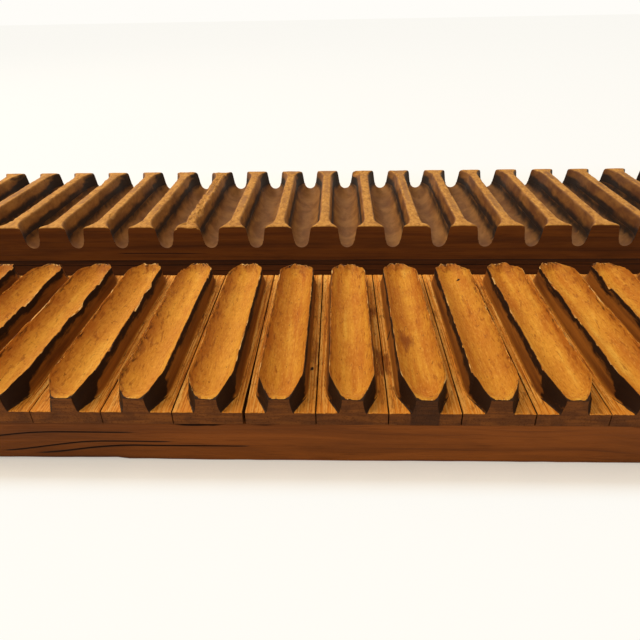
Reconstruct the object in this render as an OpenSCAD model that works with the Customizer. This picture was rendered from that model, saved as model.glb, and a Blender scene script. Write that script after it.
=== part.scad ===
// Wooden cigar mould lying open on a table, both halves face up.
// The base half is in front: a plank with a row of glued blocks, each with a raised tongue
// that is hollowed into a half cigar. The cover half is behind it: a slotted plank on a
// backing plank. Turned over onto the base, its slots go down over the tongues.
// The origin is on the table, midway between the halves and at mid length.
// +X runs along the row of cavities, and +Y from the base half to the cover half.

/* [Mould] */
// Number of cigar cavities in the row
cavities = 20; // [6:1:20]
// Distance from one cavity to the next
pitch = 26; // [24:0.5:34]
// Plain land past the last cavity at each end
end_land = 20; // [16:1:30]
// Depth of both halves, from front face to back face
mould_depth = 113; // [95:1:140]
// Space between the two halves as they lie open
open_space = 29.4; // [24:0.2:60]

/* [Cigar] */
// Diameter of the trough along the body of the cigar
cigar_d = 15.9; // [14:0.1:17]
// Diameter of the trough where it runs out at each face
head_d = 6.6; // [5:0.1:7]
// Length of the rounded taper at each end of the cigar
taper_len = 13.5; // [11:0.5:18]
// Height of the cigar's axis over the floor strips between the tongues
axis_h = 9.5; // [9:0.1:11]

/* [Tongues and slots] */
// Slope of the tongue and slot walls, in degrees from upright
draft = 9; // [5:0.5:11]
// Thickness of a tongue's rim
rim_t = 0.25; // [0.2:0.05:0.6]
// Clearance between a tongue's wall and the wall of its slot
fit_gap = 0.35; // [0.3:0.05:0.6]
// Width of the ledge in a slot that a tongue's rim closes against
ledge = 0.15; // [0.1:0.05:0.3]
// Space between a tongue's rim and that ledge
rim_gap = 0.35; // [0.3:0.05:0.6]
// Extra clearance along a cigar at each end of a tongue
end_gap = 0.6; // [0.5:0.05:1]
// How far the rims drop where they run out at the front face
front_rim_drop = 3.4; // [0.5:0.1:3.8]
// Length over which the rims drop at the front face
front_drop_len = 10; // [4:0.5:14]
// How far the rims drop where they run out at the back face
back_rim_drop = 1.8; // [0.5:0.1:3.8]
// Length over which the rims drop at the back face
back_drop_len = 7; // [4:0.5:14]
// Space left under the ridges of the closed cover
seat_gap = 0.3; // [0.2:0.05:0.6]

/* [Base half] */
// Thickness of the base plank
base_plank_t = 18; // [16:0.5:26]
// Thickness of a block under its floor strips
slab_t = 5.8; // [5:0.1:9]
// Width of the glued joint between two blocks
block_joint = 0.3; // [0.1:0.05:0.5]
// Bevel on the long lower edges of both halves
edge_bevel = 1; // [0.5:0.1:2]

/* [Cover half] */
// Thickness of the backing plank
cover_backing_t = 19.2; // [16:0.1:26]
// Thickness of the slotted plank
cover_plank_t = 20.8; // [19.5:0.1:26]

/* [Guide pins] */
// Diameter of a guide pin
pin_d = 9; // [6:0.5:10]
// Height of a guide pin over the base half's top
pin_proud = 9; // [6:0.5:12]
// Depth of a guide pin's hole in the base plank
pin_sink = 13; // [8:0.5:14]
// Length of the taper at a guide pin's tip
pin_tip = 4; // [3:0.5:5]
// Clearance all round a guide pin in the cover's hole
pin_clear = 0.6; // [0.5:0.05:0.8]

/* [Screws] */
// Diameter of a screw's head
screw_head_d = 8; // [6:0.5:9]
// Diameter of a screw's shank
screw_d = 4; // [3:0.5:4.5]
// Length of the screws that hold the base half's end blocks
base_screw_len = 19; // [14:1:20]
// Length of the screws that hold the cover's two planks together
cover_screw_len = 34; // [26:1:35]
// How far in from the front and back faces the screws are
screw_inset = 22; // [14:1:30]
// Clearance round glued pins and driven screws
hole_gap = 0.1; // [0.05:0.05:0.2]

/* [Hidden] */
$fn = 64;
overcut = 1;
mould_len = cavities * pitch + 2 * end_land;
base_top_z = base_plank_t + slab_t;
cover_top_z = cover_backing_t + cover_plank_t;
base_front_y = -open_space / 2 - mould_depth;
cover_front_y = open_space / 2;
base_axis_z = base_top_z + axis_h;

// The cover turns over about a line at y = 0 and this height, and then its ridges lie
// seat_gap over the floor strips and its cigar axes on the base half's
turn_z = (base_top_z + seat_gap + cover_top_z) / 2;
cover_axis_z = 2 * turn_z - base_axis_z;

pin_x = (mould_len - end_land) / 2;
pin_y = mould_depth / 2;
pin_end_r = (pin_d - pin_tip / 2) / 2;

// The taper is an arc that meets the straight wall at a tangent
taper_fall = (cigar_d - head_d) / 2;
taper_r = (taper_len * taper_len + taper_fall * taper_fall) / (2 * taper_fall);
taper_x = cigar_d / 2 - taper_r;
side_reach = pitch + taper_r;
slot_grow = rim_t + fit_gap;

base_wood = "#c98a35";
plank_wood = "#7a4a1e";
cover_wood = "#8a5a2b";
backing_wood = "#5b3618";
pin_wood = "#d9a95b";
steel = "#8d8f92";

function cavity_x(i) = (i - (cavities + 1) / 2) * pitch;
function block_name(i) = str("base_block_", i < 10 ? "0" : "", i);

// The ridge at or just past mid length, counted as a joint between two cavities
mid_ridge_x = (floor(cavities / 2) - cavities / 2) * pitch;
screw_ys = [screw_inset, mould_depth - screw_inset];

// Everything on one side of a wall, seen along the wall. The wall is the cigar's outline,
// moved outward by grow, with the cigar's axis at x = 0 and its tapers drawn in by pull.
module wall_outline(grow, pull) {
    r = taper_r + grow;
    start = taper_len + pull;
    intersection() {
        union() {
            translate([-side_reach, start])
                square([side_reach + taper_x + r, mould_depth - 2 * start]);
            for (y = [start, mould_depth - start])
                translate([taper_x, y]) circle(r = r);
            translate([-side_reach, -overcut])
                square([side_reach + taper_x, mould_depth + 2 * overcut]);
        }
        translate([-side_reach, -overcut])
            square([2 * side_reach, mould_depth + 2 * overcut]);
    }
}

// A cigar lying along +Y, grown all round and cut off past both faces
module cigar_body(grow, pull) {
    rotate([-90, 0, 0])
        rotate_extrude()
            intersection() {
                wall_outline(grow, pull);
                translate([0, -overcut])
                    square([pitch, mould_depth + 2 * overcut]);
            }
}

// The sloping right-hand side of a tongue or slot, with the cigar's axis as its zero
module sloped_side(grow, pull) {
    rotate([0, -draft, 0])
        translate([0, 0, -pitch])
            linear_extrude(height = 2 * pitch) wall_outline(grow, pull);
}

// A tongue's outside, or a slot's walls, between two heights measured from the cigar's axis
module drafted_body(grow, pull, low, high, overrun) {
    intersection() {
        sloped_side(grow, pull);
        mirror([1, 0, 0]) sloped_side(grow, pull);
        translate([-pitch / 2, -overrun, low])
            cube([pitch, mould_depth + 2 * overrun, high - low]);
    }
}

// What is cut off a tongue's rims towards a face at y = 0
module rim_end_cut(drop, length) {
    slope = drop / length;
    reach = length + 2 * overcut;
    translate([-pitch / 2, 0, 0])
        rotate([90, 0, 90])
            linear_extrude(height = pitch)
                polygon([
                    [-overcut, -slope * (length + overcut)],
                    [reach, slope * (reach - length)],
                    [-overcut, slope * (reach - length)]
                ]);
}

// A countersunk wood screw with its head at z = 0, pointing up
module wood_screw(length) {
    head_h = (screw_head_d - screw_d) / 2;
    tip_h = screw_d;
    difference() {
        union() {
            cylinder(d1 = screw_head_d, d2 = screw_d, h = head_h);
            translate([0, 0, head_h])
                cylinder(d = screw_d, h = length - head_h - tip_h);
            translate([0, 0, length - tip_h])
                cylinder(d1 = screw_d, d2 = screw_d / 4, h = tip_h);
        }
        translate([-screw_head_d / 2, -screw_d / 8, -overcut])
            cube([screw_head_d, screw_d / 4, overcut + head_h / 2]);
    }
}

// The hole for that screw, open a little way past its head
module screw_hole(length) {
    head_h = (screw_head_d - screw_d) / 2;
    translate([0, 0, -overcut])
        cylinder(d = screw_head_d + 2 * hole_gap, h = overcut + hole_gap);
    translate([0, 0, hole_gap])
        cylinder(d1 = screw_head_d + 2 * hole_gap, d2 = screw_d + 2 * hole_gap, h = head_h);
    cylinder(d = screw_d + 2 * hole_gap, h = length + hole_gap);
}

// Places its children head down at each screw of the cover
module cover_screw_places() {
    for (x = [-pin_x, mid_ridge_x, pin_x])
        for (y = screw_ys)
            translate([x, cover_front_y + y, hole_gap]) children();
}

// Places its children head up at each screw of the end blocks
module base_screw_places() {
    for (x = [-pin_x, pin_x])
        for (y = screw_ys)
            translate([x, base_front_y + y, base_top_z - hole_gap])
                mirror([0, 0, 1]) children();
}

// A plank along X whose long lower edges are bevelled
module plank(width, height) {
    rotate([90, 0, 90])
        linear_extrude(height = mould_len)
            polygon([
                [edge_bevel, 0],
                [width - edge_bevel, 0],
                [width, edge_bevel],
                [width, height],
                [0, height],
                [0, edge_bevel]
            ]);
}

module base_plank() {
    color(plank_wood)
    difference() {
        translate([-mould_len / 2, base_front_y, 0])
            plank(mould_depth, base_plank_t);
        for (x = [-pin_x, pin_x])
            translate([x, base_front_y + pin_y, base_plank_t - pin_sink])
                cylinder(d = pin_d + 2 * hole_gap, h = pin_sink + overcut);
        base_screw_places() screw_hole(base_screw_len);
    }
}

module base_block(i) {
    color(base_wood)
    translate([cavity_x(i), base_front_y, 0])
    difference() {
        union() {
            translate([-(pitch - block_joint) / 2, 0, base_plank_t])
                cube([pitch - block_joint, mould_depth, slab_t]);
            translate([0, 0, base_axis_z])
                drafted_body(rim_t, end_gap, -axis_h - slab_t / 2, -rim_gap, 0);
        }
        translate([0, 0, base_axis_z]) {
            cigar_body(0, end_gap);
            rim_end_cut(front_rim_drop, front_drop_len);
            translate([0, mould_depth, 0])
                mirror([0, 1, 0]) rim_end_cut(back_rim_drop, back_drop_len);
        }
    }
}

module base_end_block(side) {
    inner_x = cavities * pitch / 2 + block_joint / 2;
    color(base_wood)
    difference() {
        translate([side > 0 ? inner_x : -mould_len / 2, base_front_y, base_plank_t])
            cube([mould_len / 2 - inner_x, mould_depth, slab_t]);
        translate([side * pin_x, base_front_y + pin_y, base_plank_t - overcut])
            cylinder(d = pin_d + 2 * hole_gap, h = slab_t + 2 * overcut);
        base_screw_places() screw_hole(base_screw_len);
    }
}

module base_end_screws() {
    color(steel) base_screw_places() wood_screw(base_screw_len);
}

module guide_pin(side) {
    straight = pin_sink + slab_t + pin_proud - pin_tip;
    color(pin_wood)
    translate([side * pin_x, base_front_y + pin_y, base_plank_t - pin_sink]) {
        cylinder(d = pin_d, h = straight);
        translate([0, 0, straight])
            cylinder(r1 = pin_d / 2, r2 = pin_end_r, h = pin_tip);
    }
}

// One slot of the cover, with the cigar's axis as its zero and its mouth up
module cover_slot() {
    mirror([0, 0, 1])
        drafted_body(slot_grow, 0, seat_gap - axis_h - overcut, 0, overcut);
    cigar_body(slot_grow - ledge, 0);
}

module cover_slotted_plank() {
    color(cover_wood)
    difference() {
        translate([-mould_len / 2, cover_front_y, cover_backing_t])
            cube([mould_len, mould_depth, cover_plank_t]);
        for (i = [1 : cavities])
            translate([cavity_x(i), cover_front_y, cover_axis_z]) cover_slot();
        for (x = [-pin_x, pin_x])
            translate([x, cover_front_y + pin_y, cover_top_z - pin_proud - 2 * pin_clear])
                cylinder(d = pin_d + 2 * pin_clear, h = pin_proud + 2 * pin_clear + overcut);
        cover_screw_places() screw_hole(cover_screw_len);
    }
}

module cover_backing_plank() {
    color(backing_wood)
    difference() {
        translate([-mould_len / 2, cover_front_y, 0])
            plank(mould_depth, cover_backing_t);
        cover_screw_places() screw_hole(cover_screw_len);
    }
}

module cover_screws() {
    color(steel) cover_screw_places() wood_screw(cover_screw_len);
}

base_plank();
for (i = [1 : cavities])
    base_block(i);
base_end_block(-1);  // base_end_block_left
base_end_block(1);  // base_end_block_right
base_end_screws();
guide_pin(-1);  // guide_pin_left
guide_pin(1);  // guide_pin_right
cover_slotted_plank();
cover_backing_plank();
cover_screws();
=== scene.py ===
# %% [markdown]
# # A worn wooden cigar mould
#
# The object is a press for shaping cigars, lying open on a table. The near half is a plank
# with a row of glued blocks, each with a hollowed tongue. The far half is a plank with slots
# that go down over the tongues when it is turned over. Both have been used for decades, so
# their rims are chipped, their faces are dark from handling, and their troughs are polished.
#
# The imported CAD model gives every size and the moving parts. This script dresses it: nearly
# every wooden node is replaced by a mesh of the same size with its wear cut in, and each
# wood gets a finish built from nodes. Lengths are in millimetres until a mesh is made.

import functools
import math

import bmesh
import bpy
import numpy as np
from mathutils import Matrix, Vector


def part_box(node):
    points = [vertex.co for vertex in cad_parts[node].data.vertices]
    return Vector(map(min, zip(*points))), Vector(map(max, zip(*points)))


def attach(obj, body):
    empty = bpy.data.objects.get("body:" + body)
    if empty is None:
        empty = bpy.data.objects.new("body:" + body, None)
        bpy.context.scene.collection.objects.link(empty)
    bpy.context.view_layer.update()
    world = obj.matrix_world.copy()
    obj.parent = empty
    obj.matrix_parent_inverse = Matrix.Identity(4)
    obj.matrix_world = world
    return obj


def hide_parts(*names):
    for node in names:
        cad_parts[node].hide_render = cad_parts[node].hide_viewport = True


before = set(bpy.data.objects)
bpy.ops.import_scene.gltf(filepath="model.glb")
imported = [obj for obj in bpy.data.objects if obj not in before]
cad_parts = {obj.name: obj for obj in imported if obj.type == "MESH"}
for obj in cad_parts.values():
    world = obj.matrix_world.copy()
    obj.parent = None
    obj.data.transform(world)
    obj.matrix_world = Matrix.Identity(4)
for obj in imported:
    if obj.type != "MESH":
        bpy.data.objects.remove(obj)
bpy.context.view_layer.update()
MM = 0.001

# %% [markdown]
# ## The camera
#
# The camera was found by fitting the edges of both halves in the photograph, so it is set
# as a place, three angles and a focal length. It comes first because everything that
# follows is judged through it. A camera could also be aimed with a Track To constraint, but
# a plain matrix keeps the small roll that a hand-held photograph has.

# %% Camera
PITCH_DOWN, ROLL, YAW = 0.5284, -0.0194, -0.0384
ahead = Vector((math.sin(YAW), math.cos(YAW), 0))
right = Vector((math.cos(YAW), -math.sin(YAW), 0))
up = Vector((0, 0, 1))
view_axis = ahead * math.cos(PITCH_DOWN) - up * math.sin(PITCH_DOWN)
view_up = up * math.cos(PITCH_DOWN) + ahead * math.sin(PITCH_DOWN)
camera_x = right * math.cos(ROLL) + view_up * math.sin(ROLL)
camera_y = view_up * math.cos(ROLL) - right * math.sin(ROLL)

camera = bpy.data.objects.new("camera", bpy.data.cameras.new("camera"))
bpy.context.scene.collection.objects.link(camera)
turn = Matrix((camera_x, camera_y, -view_axis)).transposed().to_4x4()
camera.matrix_world = Matrix.Translation((0.0081, -0.2829, 0.1525)) @ turn
camera.data.sensor_width = 36
camera.data.lens = 31.44
camera.data.clip_start = 0.01
bpy.context.scene.camera = camera
print("camera", [round(v, 4) for v in camera.location], camera.data.lens, "mm lens")

# %% [markdown]
# ## Sizes that the CAD model was built from
#
# A worn piece has to lie inside the clean one, or the two halves would no longer close. The
# shapes below therefore repeat the rule that the CAD solids follow: a cigar's outline is a
# straight wall that meets an arc at each end, and the tongue and slot walls lean by nine
# degrees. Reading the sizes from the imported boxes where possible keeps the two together.

# %% Sizes and the outline's rule
PITCH = 26.0
CAVITIES = 20
DEPTH = 113.0
TROUGH_R = 15.9 / 2
TAPER = 13.5
TAPER_FALL = (15.9 - 6.6) / 2
TAPER_R = (TAPER**2 + TAPER_FALL**2) / (2 * TAPER_FALL)
AXIS_H = 9.5
LEAN = math.radians(9)
RIM, SLOT_GROW, CEILING_GROW, END_GAP = 0.25, 0.6, 0.45, 0.6
RIM_TOP = AXIS_H - 0.35

low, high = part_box("base_block_01")
BLOCK_W = (high.x - low.x) / MM
BASE_FRONT, FLOOR_Z = low.y / MM, 18.0 + 5.8
low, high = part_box("cover_slotted_plank")
COVER_FRONT, COVER_JOINT_Z, COVER_TOP_Z = low.y / MM, low.z / MM, high.z / MM
HALF_LEN = high.x / MM
SLOT_AXIS_DEPTH = 9.2


def half_width(inset, grow, pull):
    """Half the cigar's width, moved outward by grow, at a distance in from the nearest face."""
    run = np.maximum(0, TAPER + pull - inset)
    return TROUGH_R - TAPER_R + np.sqrt((TAPER_R + grow) ** 2 - run**2)


def planed_off(along):
    """How much narrower a tongue is near its front, where a straight cut replaced the arc."""
    cut = 9.5
    near = np.minimum(along, cut)
    arc = TROUGH_R - TAPER_R + np.sqrt(TAPER_R**2 - (TAPER - near) ** 2)
    widest = TROUGH_R - TAPER_R + math.sqrt(TAPER_R**2 - (TAPER - cut) ** 2)
    narrow = TROUGH_R - TAPER_FALL
    return arc - narrow - (widest - narrow) * near / cut


def cavity_x(number):
    return (number - (CAVITIES + 1) / 2) * PITCH


print(f"block {BLOCK_W:.1f} wide, floor at {FLOOR_Z:.1f}, ridges at {COVER_TOP_Z:.1f}")

# %% [markdown]
# ## Random but repeatable wear
#
# Wear is irregular at every size, from a long wave in a rim to single torn fibres. Blender's
# own textures could displace the meshes, but a chipped rim has to follow its own edge, and
# that is easier in numbers. Smooth random lines and sheets from a seeded generator give the
# same wear on every run.


# %% Random lines and sheets
def ease(share):
    share = np.clip(share, 0, 1)
    return share * share * (3 - 2 * share)


def wander(dice, places, spacing):
    """A smooth random line from -1 to 1, with a new value about every spacing."""
    knots = dice.uniform(-1, 1, int(np.max(places) / spacing) + 3)
    cell = np.floor(places / spacing).astype(int)
    share = ease(places / spacing - cell)
    return knots[cell] * (1 - share) + knots[cell + 1] * share


def mottle(dice, across, along, across_step, along_step):
    """A smooth random sheet from -1 to 1, over places that start at zero."""
    rows, cols = across / across_step, along / along_step
    knots = dice.uniform(-1, 1, (int(np.max(rows)) + 3, int(np.max(cols)) + 3))
    r, c = np.floor(rows).astype(int), np.floor(cols).astype(int)
    a, b = ease(rows - r), ease(cols - c)
    near = knots[r, c] * (1 - a) + knots[r + 1, c] * a
    far = knots[r, c + 1] * (1 - a) + knots[r + 1, c + 1] * a
    return near * (1 - b) + far * b


def chip(places, start, length, depth):
    """How deep a broken-out chip is: steep where it starts, running out along the grain."""
    share = (places - start) / length
    inside = (share > 0) & (share < 1)
    return np.where(inside, depth * ease(share / 0.1) * (1 - np.clip(share, 0, 1)) ** 0.6, 0.0)


def rounding(inset, radius):
    """How far a rounded edge lies below its surface, at a distance in from the face."""
    run = np.clip(radius - inset, 0, radius)
    return radius - np.sqrt(radius**2 - run**2)


# %% [markdown]
# ## Solids with a worn top
#
# The blocks and the slotted plank have one thing in common: seen from above, each point of
# the top has one height. A grid of points can therefore carry the whole worn top, and the
# sides hang straight down from its border. Sculpting would give the same look, but a grid
# is exact where the two halves meet. Attributes on the points tell the finish where the
# wood is stained, torn pale or polished, and where shade is painted on.


# %% Mesh builder for a worn top with upright sides
def worn_solid(name, top, bottom_z, marks, carried, steps, materials):
    """A solid under a grid of points, rows x columns x 3, from the front row to the back one.

    The materials are for the top, the front and back faces, and the two ends with the
    bottom. carried says how much of a mark runs down the sides.
    """
    rows, cols = top.shape[:2]
    grid = np.arange(rows * cols).reshape(rows, cols)
    border = np.concatenate(
        [grid[0], grid[1:, -1], grid[-1, -2::-1], grid[-2:0:-1, 0]]
    )
    ring = top.reshape(-1, 3)[border]
    front_y, back_y = top[..., 1].min(), top[..., 1].max()
    plain_y = np.where(border // cols == 0, front_y, ring[:, 1])
    plain_y = np.where(border // cols == rows - 1, back_y, plain_y)
    points, levels = [top.reshape(-1, 3)], [border]
    for step in steps:
        level = ring.copy()
        level[:, 1] = plain_y
        level[:, 2] = ring[:, 2] + (bottom_z - ring[:, 2]) * step
        levels.append(np.arange(len(border)) + sum(len(p) for p in points))
        points.append(level)
    faces = np.stack(
        [grid[:-1, :-1], grid[:-1, 1:], grid[1:, 1:], grid[1:, :-1]], axis=-1
    )
    faces = faces.reshape(-1, 4).tolist()
    slots = [0] * len(faces)
    along_y = np.zeros(len(border), bool)
    along_y[: cols - 1] = True
    along_y[cols + rows - 2 : 2 * cols + rows - 3] = True
    for upper, lower in zip(levels, levels[1:]):
        after = np.roll(np.arange(len(border)), -1)
        side = np.stack([upper, lower, lower[after], upper[after]], axis=-1)
        faces += side.tolist()
        slots += np.where(along_y, 1, 2).tolist()
    faces.append(levels[-1][::-1].tolist())
    slots.append(2)
    coords = np.concatenate(points) * MM

    mesh = bpy.data.meshes.new(name)
    mesh.from_pydata(coords.tolist(), [], faces)
    mesh.polygons.foreach_set("material_index", slots)
    for mark, values in marks.items():
        below = values.reshape(-1)[border] * carried.get(mark, 0.0)
        full = np.concatenate([values.reshape(-1)] + [below] * len(steps))
        layer = mesh.attributes.new(mark, "FLOAT", "POINT")
        layer.data.foreach_set("value", full.astype(np.float32))
    mesh.shade_smooth()
    mesh.set_sharp_from_angle(angle=math.radians(38))
    for material in materials:
        mesh.materials.append(material)
    piece = bpy.data.objects.new(name, mesh)
    bpy.context.scene.collection.objects.link(piece)
    return piece


# %% [markdown]
# ## Finishes
#
# Each finish starts from the wood it imitates. Beech is pale, close-grained and full of
# short dark flecks, and decades of tobacco and hands have turned it honey brown. A photo
# texture would show the flecks too, but would repeat and could not follow the wear. Noise
# stretched along the grain does both. Its scale is set by a real size in millimetres.


# %% Colour and node helpers
def colour(code):
    """A colour written as sRGB hex, as the linear values that Blender mixes."""
    parts = [int(code[i : i + 2], 16) / 255 for i in (1, 3, 5)]
    return [p / 12.92 if p <= 0.04045 else ((p + 0.055) / 1.055) ** 2.4 for p in parts] + [1]


def add_node(tree, kind, *values, inputs=None, out=None, stops=None, **settings):
    """Adds a node to a tree and gives one of its outputs, the first if none is named.

    The values, hex colours or links go to the node's active inputs in their order, or to
    the inputs that are named.
    """
    node = tree.nodes.new(kind)
    for setting, value in settings.items():
        setattr(node, setting, value)
    active = [socket for socket in node.inputs if socket.enabled]
    named = [(node.inputs[name], value) for name, value in (inputs or {}).items()]
    for socket, value in list(zip(active, values)) + named:
        if isinstance(value, bpy.types.NodeSocket):
            tree.links.new(value, socket)
        elif value is not None:
            is_hex = isinstance(value, str) and value.startswith("#")
            socket.default_value = colour(value) if is_hex else value
    if stops:
        ramp = node.color_ramp
        while len(ramp.elements) < len(stops):
            ramp.elements.new(0.5)
        for element, (place, shade) in zip(ramp.elements, stops):
            element.position, element.color = place, colour(shade)
    if out is not None:
        return node.outputs[out]
    return next((socket for socket in node.outputs if socket.enabled), None)


# %% [markdown]
# ### One group for every grain
#
# All the woods use noise whose cells have a real size along and across the grain. A group
# keeps that in one place: it divides the position by the cell's size in millimetres, so
# the numbers in each finish are sizes that could be measured on the board.


# %% The grain group
def grain_group():
    group = bpy.data.node_groups.new("grain_at_real_size", "ShaderNodeTree")
    for name, kind in (("Place", "Vector"), ("Cell in mm", "Vector"), ("Detail", "Float"), ("Distortion", "Float")):
        group.interface.new_socket(name, in_out="INPUT", socket_type="NodeSocket" + kind)
    group.interface.new_socket("Grain", in_out="OUTPUT", socket_type="NodeSocketFloat")
    given = group.nodes.new("NodeGroupInput").outputs
    in_mm = add_node(group, "ShaderNodeVectorMath", given["Place"], 1 / MM, operation="SCALE")
    cells = add_node(group, "ShaderNodeVectorMath", in_mm, given["Cell in mm"], operation="DIVIDE")
    noise = add_node(group, "ShaderNodeTexNoise", cells, 1.0, given["Detail"], 0.6, 2.0, given["Distortion"])
    add_node(group, "NodeGroupOutput", noise)
    return group


GRAIN = grain_group()


def new_finish(name):
    """A material with an empty tree, its own add_node, and the place that it colours."""
    material = bpy.data.materials.new(name)
    material.use_nodes = True
    material.node_tree.nodes.clear()
    add = functools.partial(add_node, material.node_tree)
    return material, add, add("ShaderNodeTexCoord", out="Object")


print("grain group inputs:", [item.name for item in GRAIN.interface.items_tree])

# %% [markdown]
# ### Honey beech of the blocks
#
# This is the wood that the eye goes to first: the troughs, rubbed by years of tobacco
# bunches, the golden floor strips with their long streaks, and the torn rims. One finish
# covers them all, because it is one piece of wood, and the marks on the mesh say how far
# each place is a wall, a strip, stained, darkened by painted shade or torn. It is matt, since nobody ever varnished it.


# %% Block wood, along and across the grain
def block_wood_finish():
    # Beech, hollowed with a shaped plane: short dark flecks and fine waves across the
    # trough, long torn streaks on the strips, and near-black painted shade on the outer walls,
    # under the rims and in the trough's corners, beside real dark joints and holes.
    material, add, place = new_finish("beech_honey_patina")
    tone, stain, pale, wall, strip, rise, spot = (
        add("ShaderNodeAttribute", attribute_name=name, out="Fac")
        for name in ("tone", "stain", "pale", "wall", "strip", "rise", "spot")
    )
    moved = add("ShaderNodeVectorMath", (0.0, 0.9, 0.4), tone, operation="SCALE")
    own = add("ShaderNodeVectorMath", place, moved, operation="ADD")

    bands = add("ShaderNodeGroup", own, (4, 55, 4), 4, 0, node_tree=GRAIN)
    clouds = add("ShaderNodeGroup", own, (10, 17, 10), 3, 0.4, node_tree=GRAIN)
    flecks = add("ShaderNodeGroup", own, (0.55, 2.6, 0.55), 2, 0, node_tree=GRAIN)
    waves = add("ShaderNodeGroup", own, (9, 1.5, 9), 2, 1.2, node_tree=GRAIN)
    pores = add("ShaderNodeGroup", own, (1.3, 2.6, 1.3), 1, 0, node_tree=GRAIN)
    streaks = add("ShaderNodeGroup", own, (0.55, 42, 0.55), 3, 0.2, node_tree=GRAIN)
    crumbs = add("ShaderNodeGroup", own, (1.5, 6, 1.5), 4, 0.5, node_tree=GRAIN)

    honey = add(
        "ShaderNodeValToRGB",
        bands,
        stops=[(0.3, "#b06818"), (0.46, "#c27f24"), (0.6, "#d1932f"), (0.75, "#ddaa45")],
    )
    worn = add("ShaderNodeMapRange", clouds, 0.4, 0.72, 0, 0.5, interpolation_type="SMOOTHSTEP")
    honey = add("ShaderNodeMix", worn, honey, "#ae5e15", data_type="RGBA")
    paler = add("ShaderNodeMapRange", tone, 0, 1, 0, 0.4)
    honey = add("ShaderNodeMix", paler, honey, "#dea03c", data_type="RGBA")
    redder = add("ShaderNodeMapRange", tone, 0, -1, 0, 0.4)
    honey = add("ShaderNodeMix", redder, honey, "#a1561a", data_type="RGBA")
    wavy = add("ShaderNodeMapRange", waves, 0.5, 0.7, 0, 0.22, interpolation_type="SMOOTHSTEP")
    honey = add("ShaderNodeMix", wavy, honey, "#a55a19", data_type="RGBA")
    dark_fleck = add("ShaderNodeMapRange", flecks, 0.54, 0.7, 0, 0.36, interpolation_type="SMOOTHSTEP")
    honey = add("ShaderNodeMix", dark_fleck, honey, "#96500f", data_type="RGBA")
    light_fleck = add("ShaderNodeMapRange", flecks, 0.47, 0.3, 0, 0.3, interpolation_type="SMOOTHSTEP")
    honey = add("ShaderNodeMix", light_fleck, honey, "#e7ae4a", data_type="RGBA")
    pore = add("ShaderNodeMapRange", pores, 0.7, 0.78, 0, 0.6, interpolation_type="SMOOTHSTEP")
    honey = add("ShaderNodeMix", pore, honey, "#5c2f0c", data_type="RGBA")
    # Painted shade: the trough's upper sides and its far end are darkened, and the dark crumb blotches gather a little
    # more there.
    blotchy = add("ShaderNodeMath", clouds, 0.8, rise, operation="MULTIPLY_ADD")
    shoulder_shade = add("ShaderNodeMapRange", blotchy, 0.8, 1.45, 0, 0.62, interpolation_type="SMOOTHSTEP")
    honey = add("ShaderNodeMix", shoulder_shade, honey, "#995417", data_type="RGBA")
    bruises_and_shade = add("ShaderNodeMath", rise, 0.12, crumbs, operation="MULTIPLY_ADD")
    bruises_and_shade = add("ShaderNodeMapRange", bruises_and_shade, 0.6, 0.72, 0, 0.6, interpolation_type="SMOOTHSTEP")
    honey = add("ShaderNodeMix", bruises_and_shade, honey, "#8a4812", data_type="RGBA")

    floor = add(
        "ShaderNodeValToRGB",
        streaks,
        stops=[(0.31, "#4c2407"), (0.38, "#b9651a"), (0.48, "#e1902e"), (0.62, "#f7bc60")],
    )
    rubbed = add("ShaderNodeMapRange", clouds, 0.35, 0.6, 0.45, 0, interpolation_type="SMOOTHSTEP")
    floor = add("ShaderNodeMix", rubbed, floor, "#cf802a", data_type="RGBA")
    specks = add("ShaderNodeMapRange", flecks, 0.54, 0.66, 0, 0.45, interpolation_type="SMOOTHSTEP")
    floor = add("ShaderNodeMix", specks, floor, "#8c4913", data_type="RGBA")
    # Painted shade: the floor strips darken towards the front face.
    handled = add("ShaderNodeMath", rise, 0.5, operation="MULTIPLY")
    floor = add("ShaderNodeMix", handled, floor, "#c4741f", data_type="RGBA")
    rough = add("ShaderNodeMapRange", crumbs, 0.55, 0.66, 0, 0.55, interpolation_type="SMOOTHSTEP")
    floor = add("ShaderNodeMix", rough, floor, "#7a4012", data_type="RGBA")
    side = add("ShaderNodeMapRange", bands, 0.3, 0.7, interpolation_type="SMOOTHSTEP")
    side = add("ShaderNodeMix", side, "#643611", "#9a5b1e", data_type="RGBA")

    wood = add("ShaderNodeMix", strip, honey, floor, data_type="RGBA")
    wood = add("ShaderNodeMix", wall, wood, side, data_type="RGBA")
    ragged = add("ShaderNodeMapRange", crumbs, 0.25, 0.75, -0.3, 0.3)
    blot = add("ShaderNodeMath", ragged, spot, operation="ADD")
    blot = add("ShaderNodeMapRange", blot, 0.3, 0.8, 0, 0.8, interpolation_type="SMOOTHSTEP")
    wood = add("ShaderNodeMix", blot, wood, "#7f3f10", data_type="RGBA")
    # Near-black: real dark joints, holes and spots, and painted shade on the outer walls, at their foot, under the rims
    # and in the trough's corners.
    darkening = add("ShaderNodeMath", ragged, stain, operation="ADD")
    darkening = add("ShaderNodeMapRange", darkening, 0.22, 0.8, 0, 0.97, interpolation_type="SMOOTHSTEP")
    wood = add("ShaderNodeMix", darkening, wood, "#1c0d05", data_type="RGBA")
    torn = add("ShaderNodeMapRange", streaks, 0.3, 0.7, -0.35, 0.35)
    torn = add("ShaderNodeMath", torn, pale, operation="ADD")
    torn = add("ShaderNodeMapRange", torn, 0.4, 0.85, 0, 0.9, interpolation_type="SMOOTHSTEP")
    wood = add("ShaderNodeMix", torn, wood, "#e6b970", data_type="RGBA")

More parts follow.
